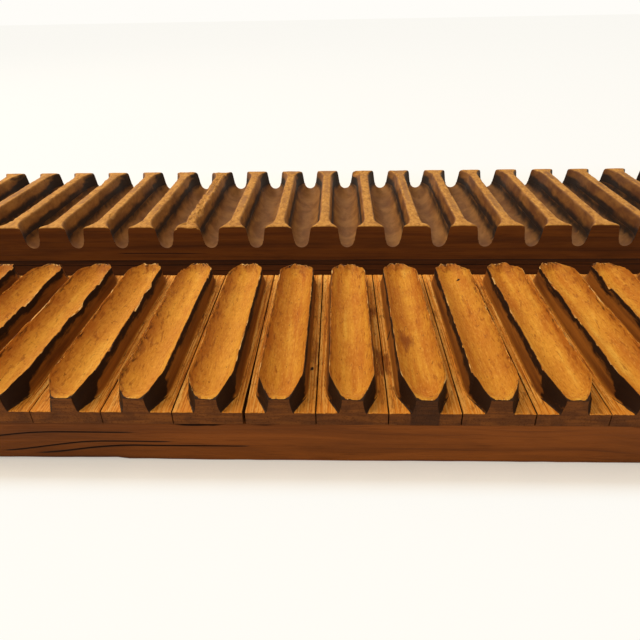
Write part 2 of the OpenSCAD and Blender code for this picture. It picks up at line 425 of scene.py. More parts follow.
    matt = add("ShaderNodeMapRange", flecks, 0.3, 0.8, 0.55, 0.75)
    combed = add("ShaderNodeMath", streaks, strip, operation="MULTIPLY")
    relief = add("ShaderNodeMath", combed, 4.0, flecks, operation="MULTIPLY_ADD")
    relief = add("ShaderNodeMath", waves, 0.8, relief, operation="MULTIPLY_ADD")
    bump = add("ShaderNodeBump", 0.4, 0.1 * MM, None, relief)
    surface = {"Base Color": wood, "Roughness": matt, "Specular IOR Level": 0.1, "Normal": bump}
    add("ShaderNodeOutputMaterial", add("ShaderNodeBsdfPrincipled", inputs=surface))
    return material


def block_end_finish():
    # The same beech across its grain, nearly black-brown from hands: fine pores and
    # faint year rings that lie flat, because the blocks were sawn that way.
    material, add, place = new_finish("beech_end_grain_handled")
    tone = add("ShaderNodeAttribute", attribute_name="tone", out="Fac")
    stain = add("ShaderNodeAttribute", attribute_name="stain", out="Fac")
    pores = add("ShaderNodeGroup", place, (0.5, 0.5, 0.5), 2, 0, node_tree=GRAIN)
    rings = add("ShaderNodeGroup", place, (16, 16, 1.5), 3, 0.8, node_tree=GRAIN)
    hands = add("ShaderNodeGroup", place, (8, 8, 8), 3, 0, node_tree=GRAIN)
    ring = add("ShaderNodeMapRange", rings, 0.32, 0.68, interpolation_type="SMOOTHSTEP")
    wood = add("ShaderNodeMix", ring, "#59300e", "#764315", data_type="RGBA")
    dull = add("ShaderNodeMapRange", hands, 0.4, 0.7, 0, 0.65, interpolation_type="SMOOTHSTEP")
    wood = add("ShaderNodeMix", dull, wood, "#42220a", data_type="RGBA")
    pore = add("ShaderNodeMapRange", pores, 0.55, 0.7, 0, 0.5, interpolation_type="SMOOTHSTEP")
    wood = add("ShaderNodeMix", pore, wood, "#2c1506", data_type="RGBA")
    darker = add("ShaderNodeMapRange", tone, -1, 1, 0.35, 0)
    wood = add("ShaderNodeMix", darker, wood, "#3c1e08", data_type="RGBA")
    blot = add("ShaderNodeMapRange", stain, 0.2, 1.0, 0, 0.85, interpolation_type="SMOOTHSTEP")
    wood = add("ShaderNodeMix", blot, wood, "#1c0d05", data_type="RGBA")
    matt = add("ShaderNodeMapRange", pores, 0.3, 0.7, 0.6, 0.8)
    bump = add("ShaderNodeBump", 0.4, 0.15 * MM, None, pores)
    surface = {"Base Color": wood, "Roughness": matt, "Specular IOR Level": 0.15, "Normal": bump}
    add("ShaderNodeOutputMaterial", add("ShaderNodeBsdfPrincipled", inputs=surface))
    return material


BLOCK_WOOD, BLOCK_END = block_wood_finish(), block_end_finish()
print("block finishes:", BLOCK_WOOD.name, BLOCK_END.name)

# %% [markdown]
# ## The row of blocks
#
# Each block was planed, hollowed and shaped on its own and then glued to the plank, so the
# joints between them show as fine dark lines. The same rule draws all twenty tongues, and
# only their wear differs. The photograph shows where the middle ones are chipped, so those
# chips are listed, and the rest are drawn at random. Wear only ever takes wood away.

# %% Where the rims are chipped
# For each block: side, distance from the front face, length and depth in millimetres. A
# negative length runs towards the front face.
CHIPS = {
    5: [(1, 62, 20, 1.2), (-1, 30, 12, 0.8)],
    6: [(1, 66, -14, 1.6), (1, 84, 10, 1.0), (-1, 48, 20, 0.7)],
    7: [(1, 26, 9, 1.1), (1, 58, 16, 1.5), (1, 86, -12, 1.4), (-1, 70, 18, 0.6)],
    8: [(-1, 20, 16, 1.0), (-1, 40, 14, 1.2), (-1, 62, 20, 0.9), (1, 34, 8, 0.6), (1, 92, 8, 1.2)],
    9: [(-1, 28, 18, 0.9), (-1, 60, 16, 0.7), (1, 45, 12, 0.5), (1, 96, -10, 0.9)],
    10: [(1, 50, 6, 1.0), (-1, 88, 14, 0.7), (1, 94, 10, 0.6)],
    11: [(-1, 96, 10, 1.0), (1, 98, 8, 0.9), (1, 40, 10, 0.4)],
    12: [(1, 58, 9, 0.7), (-1, 54, 5, 0.8), (-1, 22, 8, 0.5), (1, 88, 12, 0.9)],
    13: [(1, 66, -8, 0.8), (1, 22, 10, 0.9), (-1, 12, 8, 0.7), (1, 80, 6, 0.6)],
    14: [(-1, 84, 12, 1.2), (-1, 60, -9, 0.8), (1, 30, 12, 0.8), (1, 44, 8, 1.0)],
    15: [(-1, 52, 9, 1.1), (-1, 78, 14, 0.9), (1, 60, 22, 1.0)],
    16: [(-1, 46, 10, 0.9), (-1, 80, 10, 1.4), (1, 34, 16, 0.8)],
}
CRUMBLED = {
    (5, -1): 0.5, (7, -1): 0.4, (8, -1): 1.0, (9, -1): 0.75, (10, -1): 0.35,
    (11, 1): 0.3, (12, 1): 0.5, (13, 1): 0.6, (14, 1): 0.4, (16, 1): 0.6,
}
FAR_LIP_WEAR = {10: 0.6, 11: 1.0, 12: 0.7, 13: 0.9, 14: 0.4}
BLOCK_TONE = {5: 0.5, 6: 0.6, 7: 0.65, 8: 0.8, 9: 0.5, 10: -0.1, 11: 0.2, 12: -0.15, 13: 0.2, 14: 0.1}

# Brown spots in a trough: across, from the front, half width, half length, strength
SPOTS = {12: [(-2.8, 45, 5.2, 9.5, 0.8), (2.6, 2.5, 3.5, 2.0, 0.6)], 9: [(2, 84, 4, 9, 0.35)], 14: [(1, 70, 3, 8, 0.4)]}
# Rough brown patches on a floor strip: block, side, from the front, half length, strength
PATCHES = [(11, 1, 33, 11, 0.8), (12, -1, 30, 9, 0.7), (11, 1, 73, 6, 0.7), (10, 1, 40, 7, 0.5), (8, 1, 60, 9, 0.5)]
# Old nail and worm holes: block, across, from the front
PINHOLES = [(10, 10.6, 27), (12, -9.4, 49), (9, 7.4, 51), (8, -10.4, 66), (14, 10.2, 37), (13, 3.6, 101), (6, -5, 14)]


def stations(end_step, mid_step, end_zone):
    """Places from the front face to the back one, closer together near both."""
    edge = np.array([0, 0.12, 0.3, 0.6])
    near = np.concatenate([edge, np.arange(1.0, end_zone, end_step)])
    middle = np.linspace(end_zone, DEPTH / 2, int((DEPTH / 2 - end_zone) / mid_step) + 1)
    half = np.concatenate([near, middle])
    return np.concatenate([half, DEPTH - half[-2::-1]])


ROWS = stations(0.45, 0.95, 16)
INSET = np.minimum(ROWS, DEPTH - ROWS)


# %% [markdown]
# ### How a rim wears
#
# A rim is a quarter of a millimetre thick, so it is the first thing to break. It was cut
# lower towards both faces, it has long shallow waves from planing, a few chips that start
# steep and run out along the grain, and short stretches that have crumbled.


# %% The height of a rim
def rim_height(dice, number, side):
    """How high a rim still stands over the floor strips, from the front face to the back."""
    back = DEPTH - ROWS
    height = np.minimum(RIM_TOP, AXIS_H - 3.4 * (1 - ROWS / 10))
    height = np.minimum(height, AXIS_H - 2.3 * (1 - back / 15))
    height = height - 0.10 * (1 + wander(dice, ROWS, 17)) - 0.08 * (1 + wander(dice, ROWS, 1.9))
    crumble = CRUMBLED.get((number, side), 0.12)
    torn = np.clip(0.7 * wander(dice, ROWS, 9) + 1.5 * crumble, 0, 1) * ease(INSET / 9)
    height = height - 2.1 * crumble * torn * (0.7 + 0.3 * wander(dice, ROWS, 1.1))
    shed = 1.6 * crumble * torn * (0.6 + 0.4 * wander(dice, ROWS, 1.6))
    chips = [c[1:] for c in CHIPS.get(number, []) if c[0] == side]
    if number not in CHIPS:
        chips = [
            (dice.uniform(14, 96), dice.uniform(6, 20) * dice.choice([-1, 1]), dice.uniform(0.5, 1.6))
            for _ in range(int(dice.integers(2, 5)))
        ]
    chips += [(dice.uniform(12, 104), dice.uniform(1.5, 4), dice.uniform(0.2, 0.5)) for _ in range(9)]
    broken = np.zeros_like(ROWS)
    for start, length, depth in chips:
        broken = np.maximum(broken, chip(ROWS, start, length, depth))
    broken = broken * (1 + 0.2 * wander(dice, ROWS, 1.4))
    front_wear = 0.25 * ease(1 - ROWS / 6) * (1 + 0.8 * wander(dice, ROWS, 1.5))
    back_wear = ease(1 - back / 8) * (0.35 * wander(dice, ROWS, 1.7) + 0.2 * wander(dice, ROWS, 0.8))
    back_wear = back_wear + ease(1 - back / 14) * FAR_LIP_WEAR.get(number, 0.2)
    return height - broken - front_wear - np.maximum(back_wear, 0), broken, shed


# %% [markdown]
# ### One block
#
# The block is a sheet of columns that runs from one joint, over the floor strip, up the
# outer wall, over the rim, through the trough and down the other side. Each column is a
# line from the front face to the back one, so its place follows the cigar's outline, and
# its marks say whether it is strip, wall or trough, how stained or torn it is, and how much shade is painted on it.


# %% Columns of a block
STRIP_STEPS = (0, 0.03, 0.11, 0.22, 0.33, 0.44, 0.55, 0.66, 0.77, 0.88, 0.96)
WALL_STEPS = (0, 0.1, 0.28, 0.46, 0.64, 0.82, 0.94)
MARKS = ("wall", "strip", "pale", "stain", "rise", "spot", "frayed")


def column(x, z, **marks):
    """One line of points with its marks, the same length whatever was given."""
    values = {"x": x, "z": z, **dict.fromkeys(MARKS, 0.0), **marks}
    return {name: np.broadcast_to(value, len(ROWS)) for name, value in values.items()}


def block_half(dice, number, side, rim, broken, shed):
    """The columns from the joint to the rim's inner edge, and that edge."""
    brink = rim - shed
    foot = half_width(INSET, RIM, END_GAP) / math.cos(LEAN) - planed_off(ROWS)
    lean = math.tan(LEAN)
    back = DEPTH - ROWS
    open_joint = 0.05 + 0.05 * wander(dice, ROWS, 11)
    if (number, side) in ((9, 1), (10, -1)):
        open_joint = open_joint + 0.38 * ease(1 - ROWS / 42)
    edge = BLOCK_W / 2 - open_joint
    floor_foot = foot + AXIS_H * lean
    found = []
    for step in STRIP_STEPS:
        x = edge + (floor_foot - edge) * step
        ridge = mottle(dice, np.abs(x) + 0 * ROWS, ROWS, 0.5, 26)
        drop = 0.13 + 0.12 * ridge + (0.22 if step == 0 else 0.0)
        drop = drop + 0.05 * (1 + wander(dice, ROWS, 3.1))
        spot = sum(
            strength * np.exp(-(((ROWS - where) / half) ** 4))
            for patch, flank, where, half, strength in PATCHES
            if (patch, flank) == (number, side)
        )
        drop = drop + 0.22 * np.minimum(spot, 1) * (1 + wander(dice, ROWS, 1.3))
        # The joint column is a dark joint. Painted shade darkens the strip at the foot of the wall, more near the front
        # face, and a softer painted shade darkens it towards the front.
        stain = 0.6 if step == 0 else 0.55 * (step > 0.9)
        stain = stain + 0.35 * (step > 0.9) * ease((11 - ROWS) / 3)
        shades = {"stain": stain, "spot": spot, "rise": ease(1.3 - ROWS / 9 + 0.3 * wander(dice, ROWS, 3))}
        found.append(column(side * x, -drop - rounding(INSET, 0.35), strip=1.0, **shades))
    for step in WALL_STEPS:
        height = brink * step
        hollow = 0.22 * math.sin(math.pi * step) + 0.05 * (1 + wander(dice, ROWS, 6))
        x = foot + (AXIS_H - height) * lean - hollow
        # Painted shade: each outer wall goes black from the top down near the front face, near the back face and in a
        # band under the rim, and the right-hand walls are a little darker.
        shade_start = 0.8 - 1.25 * ease(1 - (ROWS - 3) / 16) + 0.1 * wander(dice, ROWS, 7) + 0.12 * wander(dice, ROWS, 2)
        dark = ease((step - shade_start) / 0.4) * 0.92 + ease(1 - back / 9) * 0.45
        band = 0.4 + 0.12 * wander(dice, ROWS, 14)
        dark = dark + ease((step - band) / 0.45) * (0.85 + 0.2 * wander(dice, ROWS, 9))
        dark = dark + 0.12 * wander(dice, ROWS, 5.5) + (0.12 if side > 0 else 0.0)
        wall = 1.0 if step else 0.5
        found.append(column(side * x, height, wall=wall, strip=0.3 * (step == 0), stain=np.clip(dark, 0, 1.2)))
    outer = foot + (AXIS_H - brink) * lean - 0.04
    trough = half_width(INSET, 0, END_GAP)
    reach = np.arccos(np.clip((AXIS_H - rim) / trough, -1, math.cos(0.16)))
    lip = 0.24 + 0.1 * wander(dice, ROWS, 2.2) + 0.5 * np.minimum(broken, 1)
    inner = np.maximum(trough * np.sin(reach), outer - lip)
    inner = np.minimum(inner, outer - 0.12)
    torn = np.clip(broken * 0.8 + 0.25 + 0.6 * wander(dice, ROWS, 3.5), 0, 1)
    torn = np.maximum(torn, np.minimum(shed, 0.6) * (1.3 + 1.3 * wander(dice, ROWS, 0.9)))
    torn = np.maximum(torn, ease(1 - back / 7) * (0.75 + 0.5 * wander(dice, ROWS, 1.5)))
    torn = np.clip(torn * ease((ROWS - 2) / 4 + 0.3 * wander(dice, ROWS, 1.2)), 0, 1)
    tilt = (rim - brink) / 2
    # Painted shade: a dark line along the outside of the rim that fades inward, the rim black near the front face, and
    # the trough's soft shade carried over the rim. Torn places stay pale.
    black_shade = 1.1 * ease(1.1 - ROWS / 6.5)
    shades = {"stain": np.maximum(0.85 - 0.5 * torn, black_shade), "pale": torn * 0.3}
    found.append(column(side * outer, brink - 0.06, wall=0.6, frayed=shed, **shades))
    shades = {"stain": np.maximum(0.55 - 0.55 * torn, black_shade), "pale": torn, "rise": 1.0}
    crumbs = np.minimum(shed, 1) * (0.6 * wander(dice, ROWS, 1.0) - 0.25)
    found.append(column(side * (outer + inner) / 2, brink + tilt + crumbs, wall=0.3, frayed=shed, **shades))
    shades = {"stain": np.maximum(0.2, black_shade), "pale": torn * 0.5, "rise": 1.0 if side < 0 else 0.75}
    found.append(column(side * inner, rim - 0.05, frayed=shed * 0.8, **shades))
    return found, inner, reach, trough


def trough_columns(dice, number, halves, rims):
    """The columns between the two rims, hollowed to the cigar's round section."""
    left_edge, left_reach, trough = halves[-1][1:]
    right_edge, right_reach = halves[1][1:3]
    found = []
    for share in np.linspace(0, 1, 26)[1:-1]:
        angle = -left_reach + (left_reach + right_reach) * share
        # Painted shade: the trough's upper sides darken, more on the left for blocks left of the middle and more on the
        # right for blocks right of it, and its far end darkens too.
        darker = 0.85 - 0.09 * (number - 11) if share < 0.5 else 0.65 + 0.09 * (number - 11)
        rise = abs(2 * share - 1) * min(1.0, max(0.45, darker))
        widen = left_edge / (trough * np.sin(left_reach)) if share < 0.5 else right_edge / (trough * np.sin(right_reach))
        x = trough * np.sin(angle) * (1 + (widen - 1) * (2 * share - 1) ** 2)
        ceiling = rims[-1] + (rims[1] - rims[-1]) * share - 0.05
        z = np.minimum(AXIS_H - trough * np.cos(angle), ceiling)
        z = z - 0.04 * (1 + mottle(dice, np.abs(x) + 0 * ROWS, ROWS, 3, 7))
        spots = 0.0
        for across, along, wide, long, strength in SPOTS.get(number, []):
            spots = spots + strength * np.exp(-(((x - across) / wide) ** 2) - ((ROWS - along) / long) ** 2)
        far_end = ease(1 - (DEPTH - ROWS) / (10 + 5 * abs(2 * share - 1)))
        lip = ease(1 - ROWS / 1.2) * (0.25 + 0.6 * wander(dice, ROWS * 0 + 40 * share, 3))
        ring = 1.3 + 0.8 * wander(dice, ROWS * 0 + 40 * share, 2.5)
        ragged = 0.5 + 0.4 * wander(dice, ROWS * 0 + 40 * share, 1.1)
        lip = np.maximum(lip, ease(1.1 - (DEPTH - ROWS) / ring) * ragged)
        # Painted shade in near-black: a band along the trough's upper sides, more on the left, the corners beside the
        # near face, and a ragged line at the far edge.
        upper = ease((abs(2 * share - 1) - 0.72) / 0.25)
        black_shade = upper * (0.34 + 0.3 * wander(dice, ROWS, 4) + (0.12 if share < 0.5 else 0.0)) * ease(ROWS / 6)
        outward = np.clip(np.abs(x) / (left_edge if share < 0.5 else right_edge), 0, 1)
        corner = ease((1.2 - ROWS / (0.02 + 3.2 * outward**7)) / 0.5)
        black_shade, lip = black_shade + 1.1 * corner, lip * (1 - corner)
        black_shade = black_shade + 0.75 * ease(1 - (DEPTH - ROWS) / 4) * (1 - ragged)
        found.append(column(x, z, rise=np.maximum(rise, far_end), spot=spots, pale=lip, stain=black_shade))
    return found


# %% Make a block
def tongue_block(number):
    dice = np.random.default_rng(7100 + number)
    worn = {side: rim_height(dice, number, side) for side in (-1, 1)}
    rims = {side: worn[side][0] for side in worn}
    halves = {side: block_half(dice, number, side, *worn[side]) for side in worn}
    columns = halves[-1][0] + trough_columns(dice, number, halves, rims) + halves[1][0][::-1]
    stack = {name: np.stack([line[name] for line in columns], axis=1) for name in columns[0]}

    # The lips at both faces are broken back unevenly, deepest at the far one
    tongue = np.clip(stack["z"] / 3, 0, 1)
    across = stack["x"] + BLOCK_W / 2
    far_chips = np.clip(0.35 + mottle(dice, across, across * 0, 2.2, 1) + 0.4 * mottle(dice, across, across * 0, 0.8, 1), 0, 2)
    near_chips = np.clip(mottle(dice, across, across * 0, 1.7, 1), 0, 1)
    along = ROWS[:, None]
    far_chips = far_chips * 1.4 + 2.6 * ease((np.abs(stack["x"]) - 3) / 5)
    y = along - far_chips * tongue * ease(1 - (DEPTH - along) / 9)
    y = y + near_chips * 0.6 * tongue * ease(1 - along / 2.5)
    top = np.stack([stack["x"] + cavity_x(number), y + BASE_FRONT, stack["z"] + FLOOR_Z], axis=-1)

    for block, hole_x, hole_y in PINHOLES:
        if block == number:
            distance = np.hypot(stack["x"] - hole_x, (along - hole_y) * 0.8)
            stack["stain"] = np.maximum(stack["stain"], 1.6 * ease(1.35 - distance / 0.7))
    carried = {"tone": 1.0}
    if number == 12:
        carried["stain"] = 0.75
        stack["stain"][0, stack["z"][0] > 1] = 0.95
    marks = {name: stack[name] for name in MARKS}
    marks["tone"] = np.full(y.shape, BLOCK_TONE.get(number, float(dice.uniform(-0.6, 0.6))))
    piece = worn_solid(
        f"tongue_block_{number:02d}",
        top,
        FLOOR_Z - 5.8,
        marks,
        carried,
        (0.05, 0.2, 0.5, 1.0),
        (BLOCK_WOOD, BLOCK_END, BLOCK_END),
    )
    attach(piece, "base_half")
    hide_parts(f"base_block_{number:02d}")
    return piece, top, stack


blocks = {number: tongue_block(number) for number in range(1, CAVITIES + 1)}
print("blocks:", len(blocks), "with", len(blocks[1][0].data.polygons), "faces each")

# %% [markdown]
# ### Torn fibres
#
# Dry beech frays: thin slivers lift along the rims and over the floor strips, and they
# catch the light because the wood inside is still pale. There are thousands, and all follow
# the grain, which is a job for Geometry Nodes. The tree scatters points over the worn
# faces, more where they are torn, and puts a three-sided sliver on each. Hair curves would
# do too, but a plain mesh survives every export.


# %% Fibre wood
def fibre_finish():
    # Raw beech from just under the surface: pale straw, with some slivers already browned.
    # Real fibres are 0.02 mm thick, and these bundles are ten times that, to show at all.
    material, add, place = new_finish("beech_fibre_raw")
    shade = add("ShaderNodeAttribute", attribute_name="shade", out="Fac")
    flecks = add("ShaderNodeGroup", place, (0.4, 3, 0.4), 2, 0, node_tree=GRAIN)
    wood = add("ShaderNodeValToRGB", shade, stops=[(0.0, "#52270a"), (0.4, "#c06c18"), (0.7, "#e08f2a"), (1.0, "#f3b552")])
    dirt = add("ShaderNodeMapRange", flecks, 0.45, 0.7, 0, 0.6, interpolation_type="SMOOTHSTEP")
    wood = add("ShaderNodeMix", dirt, wood, "#a8601c", data_type="RGBA")
    matt = add("ShaderNodeMapRange", flecks, 0.3, 0.7, 0.6, 0.85)
    bump = add("ShaderNodeBump", 0.3, 0.05 * MM, None, flecks)
    surface = {"Base Color": wood, "Roughness": matt, "Specular IOR Level": 0.15, "Normal": bump}
    add("ShaderNodeOutputMaterial", add("ShaderNodeBsdfPrincipled", inputs=surface))
    return material


# %% The fibre tree
def fibre_tree():
    tree = bpy.data.node_groups.new("torn_fibres", "GeometryNodeTree")
    wanted = [("Worn faces", "Geometry"), ("Fibres per square metre", "Float"), ("Shortest", "Float")]
    wanted += [("Longest", "Float"), ("Thickness", "Float"), ("Tip lift", "Float"), ("Turn", "Float")]
    wanted += [("Grain angle", "Float"), ("Seed", "Int"), ("Fibre wood", "Material")]
    for name, kind in wanted:
        tree.interface.new_socket(name, in_out="INPUT", socket_type="NodeSocket" + kind)
    tree.interface.new_socket("Fibres", in_out="OUTPUT", socket_type="NodeSocketGeometry")
    add = functools.partial(add_node, tree)
    given = tree.nodes.new("NodeGroupInput").outputs
    seed = given["Seed"]

    torn = add("GeometryNodeInputNamedAttribute", "torn", data_type="FLOAT")
    density = add("ShaderNodeMath", torn, given["Fibres per square metre"], operation="MULTIPLY")
    roots = add(
        "GeometryNodeDistributePointsOnFaces",
        given["Worn faces"],
        inputs={"Density": density, "Seed": seed},
    )
    sliver = add("GeometryNodeMeshCone", 3, 1, 1, 0.12, 0.5, 1.0)

    length = add("FunctionNodeRandomValue", given["Shortest"], given["Longest"], None, seed)
    thick = add("FunctionNodeRandomValue", 0.5, 1.3, None, 1)
    thick = add("ShaderNodeMath", thick, given["Thickness"], operation="MULTIPLY")
    size = add("ShaderNodeCombineXYZ", thick, thick, length)

    lift = add("FunctionNodeRandomValue", 0.0, given["Tip lift"], None, 2)
    lie_down = add("ShaderNodeMath", lift, -math.pi / 2, operation="ADD")
    back = add("ShaderNodeMath", 0.0, given["Turn"], operation="SUBTRACT")
    turn = add("FunctionNodeRandomValue", back, given["Turn"], None, 3)
    turn = add("ShaderNodeMath", turn, given["Grain angle"], operation="ADD")
    other_way = add("FunctionNodeRandomValue", 0, 1, None, 4, data_type="INT")
    heading = add("ShaderNodeMath", other_way, math.pi, turn, operation="MULTIPLY_ADD")
    facing = add("ShaderNodeCombineXYZ", lie_down, 0.0, heading)

    slivers = add(
        "GeometryNodeInstanceOnPoints",
        roots,
        inputs={"Instance": sliver, "Rotation": facing, "Scale": size},
    )
    shade = add("FunctionNodeRandomValue", 0.0, 1.0, None, 5)
    slivers = add("GeometryNodeStoreNamedAttribute", slivers, None, "shade", shade, domain="INSTANCE")
    meshes = add("GeometryNodeRealizeInstances", slivers)
    finished = add("GeometryNodeSetMaterial", meshes, None, given["Fibre wood"])
    add("NodeGroupOutput", finished)
    return tree


FIBRES, FIBRE_WOOD = fibre_tree(), fibre_finish()
print("fibre tree inputs:", [item.name for item in FIBRES.interface.items_tree if item.in_out == "INPUT"])


# %% Grow fibres on worn faces
def grow(name, sheets, body, slot, sizes):
    """sheets are grids of points with how torn each is. The sizes are in metres."""
    points, faces, torn = [], [], []
    for top, mark in sheets:
        rows, cols = top.shape[:2]
        grid = np.arange(rows * cols).reshape(rows, cols) + sum(len(p) for p in points)
        quads = np.stack([grid[:-1, :-1], grid[:-1, 1:], grid[1:, 1:], grid[1:, :-1]], axis=-1)
        points.append(top.reshape(-1, 3))
        faces += quads.reshape(-1, 4).tolist()
        torn.append(mark.reshape(-1))
    ground = bpy.data.meshes.new(name)
    ground.from_pydata((np.concatenate(points) * MM).tolist(), [], faces)
    layer = ground.attributes.new("torn", "FLOAT", "POINT")
    layer.data.foreach_set("value", np.concatenate(torn).astype(np.float32))

    piece = bpy.data.objects.new(name, ground)
    bpy.context.scene.collection.objects.link(piece)
    modifier = piece.modifiers.new("fibres", "NODES")
    modifier.node_group = FIBRES
    for item in FIBRES.interface.items_tree:
        if item.name in sizes:
            modifier[item.identifier] = sizes[item.name]
        elif item.name == "Fibre wood":
            modifier[item.identifier] = FIBRE_WOOD
    grown = bpy.data.meshes.new_from_object(piece.evaluated_get(bpy.context.evaluated_depsgraph_get()))
    piece.modifiers.clear()
    piece.data = grown
    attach(piece, body)
    print(name, len(grown.polygons), "faces")
    return piece


# %% Fibres on the rims and the floor strips
def fibre_sheets(first, last, clear, torn_from):
    """The same columns on both sides of every block, bare near the faces."""
    sheets = []
    bare = ease((INSET[:, None] - clear) / 7)
    for _, top, stack in blocks.values():
        torn = bare * torn_from(stack)
        for columns in (slice(first, last), slice(-last, -first)):
            sheets.append((top[:, columns], torn[:, columns]))
    return sheets


FIRST_WALL, FIRST_RIM = len(STRIP_STEPS), len(STRIP_STEPS) + len(WALL_STEPS)
rim_fibres = grow(
    "torn_rim_fibres",
    fibre_sheets(FIRST_RIM, FIRST_RIM + 4, 16, lambda stack: 0.12 + stack["pale"] + 2 * stack["frayed"]),
    "base_half",
    "block_wood",
    {
        "Fibres per square metre": 1.3e6,
        "Shortest": 1.5 * MM,
        "Longest": 5.0 * MM,
        "Thickness": 0.25 * MM,
        "Tip lift": math.radians(1.2),
        "Turn": math.radians(1.5),
        "Seed": 11,
    },
)
strip_fibres = grow(
    "raised_strip_fibres",
    fibre_sheets(1, FIRST_WALL - 1, 11.5, lambda stack: 0.5 + stack["spot"]),
    "base_half",
    "block_wood",
    {
        "Fibres per square metre": 1.3e5,
        "Shortest": 3 * MM,
        "Longest": 11 * MM,
        "Thickness": 0.26 * MM,
        "Tip lift": math.radians(0.6),
        "Turn": math.radians(1.2),
        "Seed": 12,
    },
)

# %% [markdown]
# ### Dark planks, the slotted plank and the smaller finishes
#
# The planks are a coarser wood with its grain along the row, and grime has made them nearly
# black-brown. The slots were cut across that grain by a shaped cutter, which left a smooth,
# dull surface. Only the ridge tops were rubbed back to gold by the other half. Steel screws
# and a pale dowel need only small finishes of their own.


# %% Plank wood, with its grain along the row
def plank_finish(name, dark, mid, light, streak, bend, split=None):
    # A coarse, open-grained board in its own grease and dust: long dark lines that flow
    # along it, broad lighter bands between them, and dents that catch the light. bend says
    # by how many millimetres the grain swings up and down. split is a drying split on the
    # front face that is too fine to model: its height, first and last place along the row.
    material, add, place = new_finish(name)
    stain = add("ShaderNodeAttribute", attribute_name="stain", out="Fac")
    flow = add("ShaderNodeGroup", place, (90, 400, 26), 1, 0, node_tree=GRAIN)
    flow = add("ShaderNodeMapRange", flow, 0, 1, -bend * MM, bend * MM)
    bent = add("ShaderNodeVectorMath", place, add("ShaderNodeCombineXYZ", 0.0, 0.0, flow), operation="ADD")
    bands = add("ShaderNodeGroup", bent, (150, 8, 4.5), 4, 0.5, node_tree=GRAIN)
    lines = add("ShaderNodeGroup", bent, (110, 2.4, 1.1), 3, 0.5, node_tree=GRAIN)
    fibres = add("ShaderNodeGroup", place, (14, 0.7, 0.45), 3, 0, node_tree=GRAIN)
    patches = add("ShaderNodeGroup", place, (45, 20, 9), 3, 0.5, node_tree=GRAIN)
    wood = add("ShaderNodeValToRGB", bands, stops=[(0.3, dark), (0.48, mid), (0.7, light)])
    worn = add("ShaderNodeMapRange", patches, 0.42, 0.7, 0, 0.6, interpolation_type="SMOOTHSTEP")
    wood = add("ShaderNodeMix", worn, wood, dark, data_type="RGBA")
    line = add("ShaderNodeMapRange", lines, 0.55, 0.72, 0, 0.5, interpolation_type="SMOOTHSTEP")
    wood = add("ShaderNodeMix", line, wood, streak, data_type="RGBA")
    fine = add("ShaderNodeMapRange", fibres, 0.55, 0.75, 0, 0.5, interpolation_type="SMOOTHSTEP")
    wood = add("ShaderNodeMix", fine, wood, streak, data_type="RGBA")
    if split:
        height, first, last = (value * MM for value in split)
        axes = add("ShaderNodeSeparateXYZ", bent).node.outputs
        off = add("ShaderNodeMath", axes["Z"], height, 0.25 * MM, operation="COMPARE")
        start = add("ShaderNodeMapRange", axes["X"], first, first + 6 * MM)
        stop = add("ShaderNodeMapRange", axes["X"], last, last - 12 * MM)
        crack = add("ShaderNodeMath", start, stop, operation="MULTIPLY")
        crack = add("ShaderNodeMath", crack, off, operation="MULTIPLY")
        wood = add("ShaderNodeMix", crack, wood, "#120803", data_type="RGBA")
    darkening = add("ShaderNodeMapRange", stain, 0.1, 0.9, 0, 0.92, interpolation_type="SMOOTHSTEP")
    wood = add("ShaderNodeMix", darkening, wood, "#120803", data_type="RGBA")
    matt = add("ShaderNodeMapRange", fibres, 0.3, 0.7, 0.55, 0.72)
    relief = add("ShaderNodeMath", lines, -1.5, fibres, operation="MULTIPLY_ADD")
    bump = add("ShaderNodeBump", 0.55, 0.22 * MM, None, relief)
    surface = {"Base Color": wood, "Roughness": matt, "Specular IOR Level": 0.14, "Normal": bump}
    add("ShaderNodeOutputMaterial", add("ShaderNodeBsdfPrincipled", inputs=surface))
    return material


def plank_end_finish():
    # The sawn ends of both boards, which soak up the most dirt: open pores and flat rings.
    material, add, place = new_finish("plank_end_grain_dark")
    pores = add("ShaderNodeGroup", place, (0.7, 0.7, 0.7), 2, 0, node_tree=GRAIN)
    rings = add("ShaderNodeGroup", place, (30, 18, 2.4), 3, 0.6, node_tree=GRAIN)
    ring = add("ShaderNodeMapRange", rings, 0.35, 0.65, interpolation_type="SMOOTHSTEP")
    wood = add("ShaderNodeMix", ring, "#4a260c", "#6b3b14", data_type="RGBA")
    pore = add("ShaderNodeMapRange", pores, 0.55, 0.7, 0, 0.6, interpolation_type="SMOOTHSTEP")
    wood = add("ShaderNodeMix", pore, wood, "#251205", data_type="RGBA")
    bump = add("ShaderNodeBump", 0.5, 0.2 * MM, None, pores)
    surface = {"Base Color": wood, "Roughness": 0.75, "Specular IOR Level": 0.15, "Normal": bump}
    add("ShaderNodeOutputMaterial", add("ShaderNodeBsdfPrincipled", inputs=surface))
    return material


